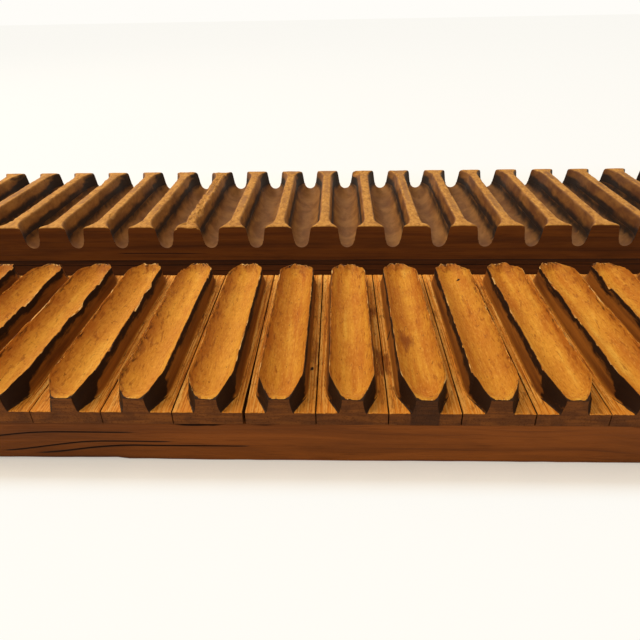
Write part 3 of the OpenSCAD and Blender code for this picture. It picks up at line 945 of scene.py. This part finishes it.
def slot_wood_finish():
    # The slotted board: dull mauve-brown where the cutter went across the grain, near-black
    # painted shade in the corners, dark blotches on the worn ridges, and gold only on the ridge tops, where the other
    # half rubs.
    material, add, place = new_finish("slotted_plank_tobacco_stained")
    top, wall, stain = (
        add("ShaderNodeAttribute", attribute_name=name, out="Fac") for name in ("top", "wall", "stain")
    )
    bands = add("ShaderNodeGroup", place, (60, 11, 14), 4, 0, node_tree=GRAIN)
    clouds = add("ShaderNodeGroup", place, (8, 15, 8), 3, 0.3, node_tree=GRAIN)
    speckle = add("ShaderNodeGroup", place, (1.7, 3.6, 1.7), 4, 0.4, node_tree=GRAIN)
    blotches = add("ShaderNodeGroup", place, (5, 8, 5), 4, 0.6, node_tree=GRAIN)
    scallops = add("ShaderNodeGroup", place, (24, 3.4, 24), 2, 0.8, node_tree=GRAIN)
    cloud = add("ShaderNodeMapRange", clouds, 0.3, 0.7, interpolation_type="SMOOTHSTEP")
    slot = add("ShaderNodeMix", cloud, "#7f4f1f", "#a67339", data_type="RGBA")
    band = add("ShaderNodeMapRange", bands, 0.45, 0.7, 0, 0.45, interpolation_type="SMOOTHSTEP")
    slot = add("ShaderNodeMix", band, slot, "#6c3f1c", data_type="RGBA")
    scallop = add("ShaderNodeMapRange", scallops, 0.58, 0.8, 0, 0.08, interpolation_type="SMOOTHSTEP")
    slot = add("ShaderNodeMix", scallop, slot, "#573318", data_type="RGBA")
    side = add("ShaderNodeMapRange", clouds, 0.35, 0.7, interpolation_type="SMOOTHSTEP")
    side = add("ShaderNodeMix", side, "#6d3e15", "#a0682c", data_type="RGBA")
    gold = add(
        "ShaderNodeValToRGB",
        speckle,
        stops=[(0.28, "#855422"), (0.42, "#b07932"), (0.6, "#c58d42"), (0.78, "#dcaa5b")],
    )
    dull = add("ShaderNodeMapRange", blotches, 0.48, 0.7, 0, 0.6, interpolation_type="SMOOTHSTEP")
    gold = add("ShaderNodeMix", dull, gold, "#85521f", data_type="RGBA")
    wood = add("ShaderNodeMix", wall, slot, side, data_type="RGBA")
    # Painted shade: the board darkens towards its right end.
    right = add("ShaderNodeSeparateXYZ", place, out="X")
    right = add("ShaderNodeMapRange", right, 0.02, 0.2, 0, 0.42)
    wood = add("ShaderNodeMix", right, wood, "#3c2010", data_type="RGBA")
    wood = add("ShaderNodeMix", top, wood, gold, data_type="RGBA")
    ragged = add("ShaderNodeMapRange", blotches, 0.25, 0.75, -0.22, 0.22)
    darkening = add("ShaderNodeMath", ragged, stain, operation="ADD")
    darkening = add("ShaderNodeMapRange", darkening, 0.2, 0.9, 0, 0.95, interpolation_type="SMOOTHSTEP")
    wood = add("ShaderNodeMix", darkening, wood, "#150a04", data_type="RGBA")
    matt = add("ShaderNodeMapRange", top, 0, 1, 0.62, 0.75)
    rubbed = add("ShaderNodeMath", speckle, top, operation="MULTIPLY")
    relief = add("ShaderNodeMath", scallops, 0.15, rubbed, operation="MULTIPLY_ADD")
    bump = add("ShaderNodeBump", 0.45, 0.25 * MM, None, relief)
    surface = {"Base Color": wood, "Roughness": matt, "Specular IOR Level": 0.2, "Normal": bump}
    add("ShaderNodeOutputMaterial", add("ShaderNodeBsdfPrincipled", inputs=surface))
    return material


def dowel_finish():
    # Birch dowel, turned and waxed by handling: fine upright fibres under patches of grime.
    material, add, place = new_finish("birch_dowel_handled")
    fibres = add("ShaderNodeGroup", place, (0.6, 0.6, 14), 3, 0, node_tree=GRAIN)
    darkening = add("ShaderNodeGroup", place, (3, 3, 5), 3, 0.3, node_tree=GRAIN)
    fibre = add("ShaderNodeMapRange", fibres, 0.3, 0.7, interpolation_type="SMOOTHSTEP")
    wood = add("ShaderNodeMix", fibre, "#a4692a", "#cf9848", data_type="RGBA")
    dirty = add("ShaderNodeMapRange", darkening, 0.45, 0.7, 0, 0.75, interpolation_type="SMOOTHSTEP")
    wood = add("ShaderNodeMix", dirty, wood, "#633a14", data_type="RGBA")
    matt = add("ShaderNodeMapRange", darkening, 0.3, 0.7, 0.42, 0.6)
    bump = add("ShaderNodeBump", 0.3, 0.1 * MM, None, fibres)
    surface = {"Base Color": wood, "Roughness": matt, "Specular IOR Level": 0.35, "Normal": bump}
    add("ShaderNodeOutputMaterial", add("ShaderNodeBsdfPrincipled", inputs=surface))
    return material


def steel_finish():
    # Turned steel wood screws, browned by damp tobacco: grey metal with matt rust bloom.
    material, add, place = new_finish("steel_screw_browned")
    rust = add("ShaderNodeGroup", place, (1.2, 1.2, 1.2), 3, 0.4, node_tree=GRAIN)
    bloom = add("ShaderNodeMapRange", rust, 0.42, 0.66, interpolation_type="SMOOTHSTEP")
    metal = add("ShaderNodeMix", bloom, "#7d7771", "#553622", data_type="RGBA")
    shine = add("ShaderNodeMapRange", rust, 0.42, 0.66, 1.0, 0.15)
    matt = add("ShaderNodeMapRange", rust, 0.4, 0.7, 0.35, 0.75)
    bump = add("ShaderNodeBump", 0.3, 0.1 * MM, None, rust)
    surface = {"Base Color": metal, "Metallic": shine, "Roughness": matt, "Normal": bump}
    add("ShaderNodeOutputMaterial", add("ShaderNodeBsdfPrincipled", inputs=surface))
    return material


BASE_PLANK_WOOD = plank_finish("base_plank_oiled_brown", "#5f310c", "#753e10", "#844816", "#43210a", 7)
COVER_WOOD = plank_finish(
    "cover_plank_dark_brown", "#4e2506", "#64330a", "#743e0e", "#321603", 1.5, split=(23.3, -122, -66)
)
BACKING_WOOD = plank_finish("backing_plank_darkest_brown", "#3e1d05", "#54290a", "#683610", "#240e02", 2)
PLANK_END, SLOT_WOOD = plank_end_finish(), slot_wood_finish()
DOWEL_WOOD, SCREW_STEEL = dowel_finish(), steel_finish()
for node, finish in (
    ("guide_pin_left", DOWEL_WOOD),
    ("guide_pin_right", DOWEL_WOOD),
    ("base_end_screws", SCREW_STEEL),
    ("cover_screws", SCREW_STEEL),
):
    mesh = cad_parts[node].data
    mesh.materials.clear()
    mesh.materials.append(finish)
print("pins and screws keep their CAD shapes, with new finishes")

# %% [markdown]
# ## Holes for pins and screws
#
# Holes are drilled after a board is shaped, and they are made so here too. A Boolean with a
# turned cutter leaves a clean round mouth in a grid that isn't round. The cutter is larger
# than the pin or screw head by the same clearance as in the CAD model.


# %% Drill a piece
def drill(piece, places, profile, upward=True):
    """Cuts a turned profile, (radius, depth) pairs from the mouth in, at each place."""
    bm = bmesh.new()
    sign = -1 if upward else 1
    for x, y, z in places:
        rings = []
        for radius, depth in profile:
            ring = []
            for step in range(48):
                angle = 2 * math.pi * step / 48
                spot = (x + radius * math.cos(angle), y + radius * math.sin(angle), z + sign * depth)
                ring.append(bm.verts.new([v * MM for v in spot]))
            rings.append(ring)
        for above, below in zip(rings, rings[1:]):
            for k in range(48):
                n = (k + 1) % 48
                bm.faces.new((above[k], above[n], below[n], below[k]))
        bm.faces.new(rings[0])
        bm.faces.new(rings[-1][::-1])
    bmesh.ops.recalc_face_normals(bm, faces=bm.faces)
    cutter_mesh = bpy.data.meshes.new("cutter")
    bm.to_mesh(cutter_mesh)
    bm.free()
    dark = cutter_mesh.attributes.new("stain", "FLOAT", "POINT")
    dark.data.foreach_set("value", np.full(len(cutter_mesh.vertices), 0.55, np.float32))
    cutter = bpy.data.objects.new("cutter", cutter_mesh)
    bpy.context.scene.collection.objects.link(cutter)
    cut = piece.modifiers.new("drill", "BOOLEAN")
    cut.operation, cut.solver, cut.object = "DIFFERENCE", "EXACT", cutter
    drilled = bpy.data.meshes.new_from_object(
        piece.evaluated_get(bpy.context.evaluated_depsgraph_get())
    )
    piece.modifiers.clear()
    piece.data = drilled
    bpy.data.objects.remove(cutter)
    return piece


PIN_X, PIN_Y = HALF_LEN - 10, DEPTH / 2
SCREW_YS = (22, DEPTH - 22)
COUNTERSINK = [(4.6, -0.5), (4.1, 0), (4.1, 0.15), (2.1, 2.15)]
PIN_HOLE = [(4.75, -1), (4.75, 0), (4.6, 0.4), (4.6, 6.5)]
COVER_PIN_HOLE = [(5.5, -1), (5.5, 0), (5.1, 0.5), (5.1, 10.2)]

# %% [markdown]
# ## End blocks
#
# Outside the photograph, the row ends in a plain block at each side that carries a guide
# pin and is screwed down. It is cut from the same beech, so it takes the same finish, with
# its worn corners and scratches modelled in the same grid.


# %% Make both end blocks
def end_block(side, name):
    dice = np.random.default_rng(7300 + side)
    inner, outer = CAVITIES * PITCH / 2 + 0.2, HALF_LEN
    steps = np.concatenate([[0, 0.15, 0.4, 0.8], np.linspace(1.6, 18.2, 22), [19.0, 19.4, 19.6]])
    steps = steps * (outer - inner) / steps[-1]
    xs = inner + steps if side > 0 else -(inner + steps)[::-1]
    x = np.broadcast_to(xs, (len(ROWS), len(xs)))
    y = np.broadcast_to(ROWS[:, None], x.shape)
    reach = np.abs(x)
    worn = 0.05 + 0.08 * mottle(dice, reach - inner, y, 0.6, 24) + 0.06 * mottle(dice, reach - inner, y, 3, 5)
    corner = rounding(outer - reach, 1.2) + rounding(INSET[:, None], 0.6) + rounding(reach - inner, 0.2)
    top = np.stack([x, y + BASE_FRONT, FLOOR_Z - np.abs(worn) - corner], axis=-1)
    marks = {
        "wall": np.zeros(x.shape),
        "strip": np.ones(x.shape),
        "pale": 0.4 * ease(1 - (outer - reach) / 1.5),
        "stain": 0.2 * ease(mottle(dice, reach - inner, y, 8, 14)),
        "tone": np.full(x.shape, 0.2 * side),
    }
    piece = worn_solid(
        name, top, 18.0, marks, {"tone": 1.0}, (0.06, 0.3, 0.6, 1.0), (BLOCK_WOOD, BLOCK_END, BLOCK_WOOD)
    )
    drill(piece, [(side * PIN_X, BASE_FRONT + PIN_Y, FLOOR_Z)], PIN_HOLE)
    drill(piece, [(side * PIN_X, BASE_FRONT + place, FLOOR_Z) for place in SCREW_YS], COUNTERSINK)
    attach(piece, "base_half")
    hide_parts("base_end_block_left" if side < 0 else "base_end_block_right")
    return piece


end_blocks = [end_block(-1, "end_land_left"), end_block(1, "end_land_right")]
print("end blocks:", [len(piece.data.polygons) for piece in end_blocks], "faces")

# %% [markdown]
# ## The slotted plank of the cover
#
# This is one board with twenty slots cut right across it, and narrow ridges left between
# them. The ridges carry the wear: rounded edges, broken corners and one badly gnawed ridge.
# The same grid builder makes it, with the columns placed by the slot's own rule.

# %% Ridge wear
# Roughness of a ridge's edges by its number, counted from the left, where the photograph
# shows it, and the places where a corner has broken off: ridge, side, distance from the
# front face, length and depth
RIDGE_ROUGH = {3: 0.4, 6: 0.6, 7: 1.7, 8: 0.4, 9: 0.6, 11: 0.5, 12: 0.7, 13: 0.4, 14: 0.4}
RIDGE_CHIPS = [
    (11, -1, 113, -9, 2.2),
    (7, 1, 34, -14, 1.0),
    (7, -1, 60, 16, 0.8),
    (9, -1, 70, -8, 0.7),
    (10, 1, 22, 9, 0.6),
    (12, -1, 96, 10, 0.9),
    (13, 1, 52, 12, 0.6),
    (5, 1, 16, 12, 0.8),
    (4, -1, 80, 12, 0.9),
    (15, -1, 64, -12, 0.8),
]
WALL_SHARES = (0.22, 0.36, 0.52, 0.7, 0.86, 1.0)
SLOT_ROWS = stations(0.8, 1.55, 16)
SLOT_INSET = np.minimum(SLOT_ROWS, DEPTH - SLOT_ROWS)


def slotted_plank():
    dice = np.random.default_rng(7500)
    rows = SLOT_ROWS
    foot = half_width(SLOT_INSET, SLOT_GROW, 0) / math.cos(LEAN)
    ceiling = half_width(SLOT_INSET, CEILING_GROW, 0)
    columns = {"x": [], "z": [], "top": [], "wall": [], "stain": []}

    def add(x, depth, top=0.0, wall=0.0, stain=0.0):
        values = {"x": x, "z": COVER_TOP_Z - depth, "top": top, "wall": wall, "stain": stain}
        for key, value in values.items():
            columns[key].append(np.broadcast_to(value, len(rows)))

    def mouth(ridge, side):
        """How far the ridge's top edge is worn back and down along the slot."""
        rough = RIDGE_ROUGH.get(ridge, 0.25)
        back = 0.75 + 0.2 * wander(dice, rows, 14) + rough * np.clip(wander(dice, rows, 3.2), 0, 1)
        down = 0.15 + 0.1 * wander(dice, rows, 9) + rough * np.clip(wander(dice, rows, 1.9), 0, 1)
        for number, where, start, length, depth in RIDGE_CHIPS:
            if (number, where) == (ridge, side):
                broken = chip(rows, start, length, depth)
                back, down = back + broken * 0.8, down + broken
        return np.minimum(back, 1.9), down + rounding(SLOT_INSET, 0.7)

    land = np.array([0, 0.4, 1.0, 2.0, 3.5, 5, 6.5, 8, 9.5, 11, 12.5, 14, 15.5, 17, 18.5, 20, 21.2])
    face_drop = rounding(SLOT_INSET, 0.5)
    for step in land:
        worn = 0.08 + 0.05 * wander(dice, rows, 4)
        add(-HALF_LEN + step, rounding(step, 1.2) + face_drop + worn, top=1.0)
    for number in range(1, CAVITIES + 1):
        centre = cavity_x(number)
        right_shade = 0.055 * min(4, max(0, number - 11))
        for side, ridge in ((-1, number - 1), (1, number)):
            back, down = mouth(ridge, -side)
            wall = []
            for turn, step in ((0, 0), (0.5, 0), (1.0, 0), (1.57, 0.1), *((1.57, s) for s in WALL_SHARES)):
                depth = np.maximum(SLOT_AXIS_DEPTH * step, down + back * (1 - math.cos(turn)))
                worn = back * (1 - math.sin(turn)) + 0.05 * (1 + wander(dice, rows, 7))
                x = foot + (SLOT_AXIS_DEPTH - depth) * math.tan(LEAN) + worn
                # Painted shade darkens each wall towards the slot's floor. The walls are also darker near both faces,
                # with darker patches near the top edge and at the back of the left walls.
                dark = ease((step - 0.4) / 0.5) * (0.9 + 0.15 * wander(dice, rows, 9))
                dark = dark + ease(1 - SLOT_INSET / 14) * (0.3 if side < 0 else 0.5) * min(1, step * 2.5)
                dark = dark + 0.3 * min(1, turn) * ease(1.6 * wander(dice, rows, 11) - 0.3)
                if side < 0:
                    grimy = ease((rows - DEPTH + 20) / 16 + 0.25 * wander(dice, rows, 4))
                    dark = dark + 0.65 * min(1, turn) * grimy
                top = max(0.0, 1 - turn / 1.3) ** 1.5
                # Painted light: the upper part of each slot's left wall is tinted with the ridge-top gold.
                if side < 0:
                    top = max(top, 0.45 * (1 - step) ** 1.5 * (turn > 0.9))
                wall.append((centre + side * x, depth, top, min(1, turn), np.clip(dark, 0, 1)))
            # Painted shade where the wall meets the slot's round floor.
            wall.append((centre + side * ceiling, SLOT_AXIS_DEPTH, 0.0, 0.5, 0.7 + 0.2 * wander(dice, rows, 9)))
            if side < 0:
                for values in wall:
                    add(*values)
                for angle in np.linspace(-math.pi / 2, math.pi / 2, 15)[1:-1]:
                    swell = 0.03 * (1 + wander(dice, rows, 14))
                    # Painted shade: the slot's round floor darkens towards its walls, and more in the slots right of
                    # the middle.
                    crook = 0.7 * ease((abs(angle) - 0.7) / 0.8) + right_shade
                    depth = SLOT_AXIS_DEPTH + (ceiling + swell) * math.cos(angle)
                    add(centre + ceiling * math.sin(angle), depth, stain=crook)
            else:
                for values in reversed(wall):
                    add(*values)
        if number < CAVITIES:
            left = foot + SLOT_AXIS_DEPTH * math.tan(LEAN)
            wide = PITCH - 2 * left
            edge = np.minimum(2.0, 0.36 * wide)
            gnawed = max(0, RIDGE_ROUGH.get(number, 0) - 0.9)
            golden = 1 - 0.75 * ease(1.4 * wander(dice, rows, 24) - 0.1) * ease((rows - 16) / 20)
            for step in (0, 0.25, 0.5, 0.75, 1):
                x = centre + left + edge + (wide - 2 * edge) * step
                rough = 0.05 + 0.2 * RIDGE_ROUGH.get(number, 0.2) * (1 + wander(dice, rows, 2.4))
                crown = 0.06 * abs(2 * step - 1) ** 2
                torn = gnawed * ease(wander(dice, rows, 2.2) + 0.3)
                add(x, rough + crown + face_drop + 0.5 * torn, top=golden, stain=0.7 * torn)
    for step in land[::-1]:
        worn = 0.08 + 0.05 * wander(dice, rows, 4)
        add(HALF_LEN - step, rounding(step, 1.2) + face_drop + worn, top=1.0)

    stack = {key: np.stack(value, axis=1) for key, value in columns.items()}
    y = np.broadcast_to(COVER_FRONT + rows[:, None], stack["x"].shape)
    top = np.stack([stack["x"], y, stack["z"]], axis=-1)
    marks = {key: stack[key] for key in ("top", "wall", "stain")}
    piece = worn_solid(
        "slotted_plank_worn", top, COVER_JOINT_Z, marks, {}, (0.03, 0.35, 0.7, 0.97, 1.0), (SLOT_WOOD, COVER_WOOD, PLANK_END)
    )
    drill(piece, [(side * PIN_X, COVER_FRONT + PIN_Y, COVER_TOP_Z) for side in (-1, 1)], COVER_PIN_HOLE)
    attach(piece, "cover_half")
    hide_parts("cover_slotted_plank")
    return piece


slotted = slotted_plank()
print("slotted plank:", len(slotted.data.polygons), "faces")

# %% [markdown]
# ## The two long planks
#
# Each plank is a board whose long edges have been knocked and rubbed for years. Its section
# could be bevelled and displaced, but the drying cracks along its faces have to stay sharp.
# So the section's points follow each crack along the board, and the bottom of the crack is
# pushed in. The section is then swept along the row and closed at both ends.


# %% A plank with cracks along its faces
def worn_plank(name, front, top_z, seed, cracks, materials, edge, foot_lift, notch, darkening):
    """cracks are (height, half width, depth, from x, to x, dip at the left) on the front face.

    foot_lift and notch say how much is broken off the front's lower and upper edges along
    the board, and darkening how much darker its front is along the board and up to the top.
    """
    dice = np.random.default_rng(seed)
    xs = np.concatenate([[0, 0.15, 0.4, 0.9, 1.6], np.linspace(3, 557, 260), [558.4, 559.1, 559.6, 559.85, 560]])
    place = xs - HALF_LEN
    end_inset = np.minimum(xs, 2 * HALF_LEN - xs)
    shrink = rounding(end_inset, 1.6)
    ring_y, ring_z, ring_dark = [], [], []

    def add(y, z, dark=0.0):
        ring_y.append(np.broadcast_to(y, len(xs)))
        ring_z.append(np.broadcast_to(z, len(xs)))
        ring_dark.append(np.broadcast_to(dark, len(xs)))

    def face(y, outward, lines):
        """One upright face from its worn lower edge to the top, with its cracks."""
        radius = edge * (1 + 0.35 * wander(dice, xs, 35) + 0.15 * wander(dice, xs, 7))
        lift = foot_lift(place) if outward < 0 else 0.0
        bite = notch(place) * (1 + 0.5 * wander(dice, xs, 2.5)) if outward < 0 else 0.0
        points = []
        for angle in (0, 0.4, 0.8, 1.2, math.pi / 2):
            points.append((radius * (1 - math.sin(angle)), lift + radius * (1 - math.cos(angle)), 0.15))
        lower = lift + radius
        for height, half, depth, start, stop, dip in lines:
            line = height + 0.4 * wander(dice, xs, 70) + 0.12 * wander(dice, xs, 13)
            line = line - dip * ease((start + 48 - place) / 46) ** 1.3
            ramp = min(25, (stop - start) / 3)
            gape = ease((place - start) / ramp) * ease((stop - place) / ramp)
            gape = gape * depth * (0.8 + 0.35 * wander(dice, xs, 30))
            for share in (0.25, 0.5, 0.75):
                z = lower + (line - half * 3 - lower) * share
                points.append((0.04 * (1 + wander(dice, xs, 12)), z, 0.0))
            points.append((0.02, line - half * 3, 0.0))
            # The bottom of each crack is darkened: painted shade and dirt.
            points.append((0.1 * gape, line - half, 0.6 * ease(gape / 0.3)))
            points.append((gape, line, ease(gape / 0.3)))
            points.append((0.1 * gape, line + half, 0.6 * ease(gape / 0.3)))
            points.append((0.02, line + half * 3, 0.0))
            lower = line + half * 3
        for share in (0.3, 0.6, 0.9):
            z = lower + (top_z - 0.8 - lower) * share
            points.append((0.04 * (1 + wander(dice, xs, 12)), z, 0.0))
        # The top edge is darker, and painted shade darkens it more where it is broken in.
        points.append((0.05, top_z - 0.35 - 0.6 * bite, 0.1 + 0.3 * bite))
        points.append((0.3 + 0.5 * bite, top_z - 0.5 * bite, 0.2 + bite))
        points.append((0.4 + 1.5 * bite, top_z, 0.2 + bite))
        return [
            (y - outward * inward, z, dark + darkening(place, z / top_z)) for inward, z, dark in points
        ]

    for values in face(front, -1, cracks):
        add(*values)
    for share in (0.2, 0.5, 0.8):
        add(front + DEPTH * share, top_z)
    for values in reversed(face(front + DEPTH, 1, cracks[:1])):
        add(*values)
    for share in np.linspace(0.97, 0.03, 14):
        add(front + DEPTH * share, 0.04 * (1 + wander(dice, xs, 9)) * (0.03 < share < 0.97))

    y, z = np.stack(ring_y, axis=1), np.stack(ring_z, axis=1)
    dark = np.stack(ring_dark, axis=1)
    middle_y, middle_z = front + DEPTH / 2, top_z / 2
    y = middle_y + (y - middle_y) * (1 - shrink[:, None] / (DEPTH / 2))
    z = middle_z + (z - middle_z) * (1 - shrink[:, None] / (top_z / 2))
    x = np.broadcast_to(place[:, None], y.shape)
    rings = np.stack([x, y, z], axis=-1)
    count, around = y.shape
    grid = np.arange(count * around).reshape(count, around)
    after = np.roll(grid, -1, axis=1)
    faces = np.stack([grid[:-1], after[:-1], after[1:], grid[1:]], axis=-1)
    faces = faces.reshape(-1, 4).tolist()
    slots = [0] * len(faces) + [1, 1]
    faces += [grid[0, ::-1].tolist(), grid[-1].tolist()]
    mesh = bpy.data.meshes.new(name)
    mesh.from_pydata((rings.reshape(-1, 3) * MM).tolist(), [], faces)
    mesh.polygons.foreach_set("material_index", slots)
    mesh.attributes.new("stain", "FLOAT", "POINT").data.foreach_set(
        "value", dark.reshape(-1).astype(np.float32)
    )
    bm = bmesh.new()
    bm.from_mesh(mesh)
    bmesh.ops.recalc_face_normals(bm, faces=bm.faces)
    bm.to_mesh(mesh)
    bm.free()
    mesh.shade_smooth()
    mesh.set_sharp_from_angle(angle=math.radians(38))
    for material in materials:
        mesh.materials.append(material)
    piece = bpy.data.objects.new(name, mesh)
    bpy.context.scene.collection.objects.link(piece)
    return piece


# %% Make both planks
BASE_CRACKS = [
    (7.2, 0.2, 1.3, -112, -20, 4.2),
    (9.6, 0.17, 0.9, -124, -48, 5.0),
    (14.0, 0.16, 0.8, -140, -62, 4.4),
]
BACKING_CRACKS = [
    (6.0, 0.12, 0.6, 60, 285, 0),
    (12.5, 0.14, 1.0, -90, 40, 0),
    (16.0, 0.12, 0.5, -285, 285, 0),
]


def base_foot(place):
    """The lower edge at the left has been knocked away a little."""
    return 0.7 * ease((-72 - place) / 4)


def base_notch(place):
    """Where the glue line has opened under one block, and two small nicks."""
    return sum(
        deep * ease(1.6 - np.abs(place - middle) / half)
        for middle, half, deep in ((-43, 7, 0.9), (-19, 3, 0.5), (118, 5, 0.4))
    )


def base_darkening(place, share):
    """The left end has darkened more than the right one, and painted shade darkens the faces towards the table."""
    return 0.36 * ease((-10 - place) / 80) + 0.12 * ease(1 - share / 0.2)


def backing_darkening(place, share):
    """The faces are darker under the joint with the slotted plank, and painted shade darkens them towards the table."""
    return 0.5 * ease((share - 0.72) / 0.22) + 0.25 * ease(1 - share / 0.35) + 0 * place


base_board = worn_plank(
    "base_plank_worn",
    BASE_FRONT,
    18.0,
    7601,
    BASE_CRACKS,
    (BASE_PLANK_WOOD, PLANK_END),
    1.0,
    base_foot,
    base_notch,
    base_darkening,
)
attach(base_board, "base_half")
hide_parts("base_plank")

backing_board = worn_plank(
    "backing_plank_worn",
    COVER_FRONT,
    COVER_JOINT_Z,
    7602,
    BACKING_CRACKS,
    (BACKING_WOOD, PLANK_END),
    1.6,
    lambda place: 0.2 * ease((place - 150) / 60),
    lambda place: 0.25 * ease(np.sin(place / 17) * np.sin(place / 41 + 1)),
    backing_darkening,
)
heads = [(x, COVER_FRONT + y, 0) for x in (-PIN_X, 0, PIN_X) for y in SCREW_YS]
drill(backing_board, heads, COUNTERSINK, upward=False)
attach(backing_board, "cover_half")
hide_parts("cover_backing_plank")
print("planks:", len(base_board.data.polygons), len(backing_board.data.polygons), "faces")

# %% [markdown]
# ## Floor, backdrop and light
#
# The mould lies on a cream table in front of a nearly white wall. The floor is one large
# sheet whose cream fades to white in front of and behind the object. Two broad lamps and
# an even sky light it softly, at a level at which a colour renders about as it is written.

# %% Floor
def table_finish():
    # Cream table cloth, seen from a little above: a fine weave too small to count. Away
    # from the object it turns to plain white for the camera, as the photograph does. Near the
    # object it still glows in part for the camera, which is painted light over the object's shadow.
    material, add, place = new_finish("cream_table_cloth")
    far = add("ShaderNodeSeparateXYZ", place, out="Y")
    behind = add("ShaderNodeMapRange", far, 0.12, 0.3, interpolation_type="SMOOTHSTEP")
    before = add("ShaderNodeMapRange", far, -0.1285, -0.147, interpolation_type="SMOOTHSTEP")
    away = add("ShaderNodeMath", behind, before, operation="MAXIMUM")
    weave = add("ShaderNodeGroup", place, (1.2, 1.2, 1.2), 3, 0, node_tree=GRAIN)
    thread = add("ShaderNodeMapRange", weave, 0.3, 0.7, 0, 0.14)
    cream = add("ShaderNodeMix", thread, "#fff3de", "#efdfc0", data_type="RGBA")
    cream = add("ShaderNodeMix", away, cream, "#fcf8f0", data_type="RGBA")
    surface = {"Base Color": cream, "Roughness": 0.9, "Specular IOR Level": 0.1}
    cloth = add("ShaderNodeBsdfPrincipled", inputs=surface)
    white = add("ShaderNodeEmission", "#fffdf7", 1.0)
    seen = add("ShaderNodeLightPath", out="Is Camera Ray")
    # Painted light: over a third of the cloth glows for the camera everywhere, lifting the shadow.
    glow_over_shadow = add("ShaderNodeMath", away, 0.4, operation="MAXIMUM")
    share = add("ShaderNodeMath", glow_over_shadow, seen, operation="MULTIPLY")
    share = add("ShaderNodeMath", share, 0.92, operation="MULTIPLY")
    add("ShaderNodeOutputMaterial", add("ShaderNodeMixShader", share, cloth, white))
    return material


floor_mesh = bpy.data.meshes.new("table")
bm = bmesh.new()
bmesh.ops.create_grid(bm, x_segments=1, y_segments=1, size=4)
bm.to_mesh(floor_mesh)
bm.free()
floor_mesh.materials.append(table_finish())
table = bpy.data.objects.new("table", floor_mesh)
bpy.context.scene.collection.objects.link(table)

# %% The sky, which is white to the camera and softer as a light
world = bpy.data.worlds.new("studio")
bpy.context.scene.world = world
world.use_nodes = True
world.node_tree.nodes.clear()
add = functools.partial(add_node, world.node_tree)
light = add("ShaderNodeBackground", "#fff6e8", 0.5)
white = add("ShaderNodeBackground", "#fffdf8", 1.0)
rays = add("ShaderNodeLightPath").node.outputs
seen = add("ShaderNodeMath", rays["Is Camera Ray"], rays["Is Glossy Ray"], operation="MAXIMUM")
seen = add("ShaderNodeMath", seen, rays["Is Transmission Ray"], operation="MAXIMUM")
add("ShaderNodeOutputWorld", add("ShaderNodeMixShader", seen, light, white))


# %% Lamps
def soft_lamp(name, place, aim, size, watts, shade):
    lamp = bpy.data.lights.new(name, "AREA")
    lamp.shape = "RECTANGLE"
    lamp.size, lamp.size_y = size
    lamp.energy = watts
    lamp.color = colour(shade)[:3]
    holder = bpy.data.objects.new(name, lamp)
    bpy.context.scene.collection.objects.link(holder)
    direction = Vector(aim) - Vector(place)
    turned = direction.to_track_quat("-Z", "Y").to_matrix().to_4x4()
    holder.matrix_world = Matrix.Translation(place) @ turned
    return holder


soft_lamp("window_on_the_left", (-0.85, 0.4, 1.2), (0, -0.05, 0), (1.1, 1.1), 20, "#fff2df")
soft_lamp("fill_from_the_front", (0.5, -1.5, 1.0), (0, 0, 0), (1.2, 1.2), 7, "#fff5e8")
bpy.context.scene.view_settings.view_transform = "Standard"
print("lamps:", [item.name for item in bpy.data.lights])
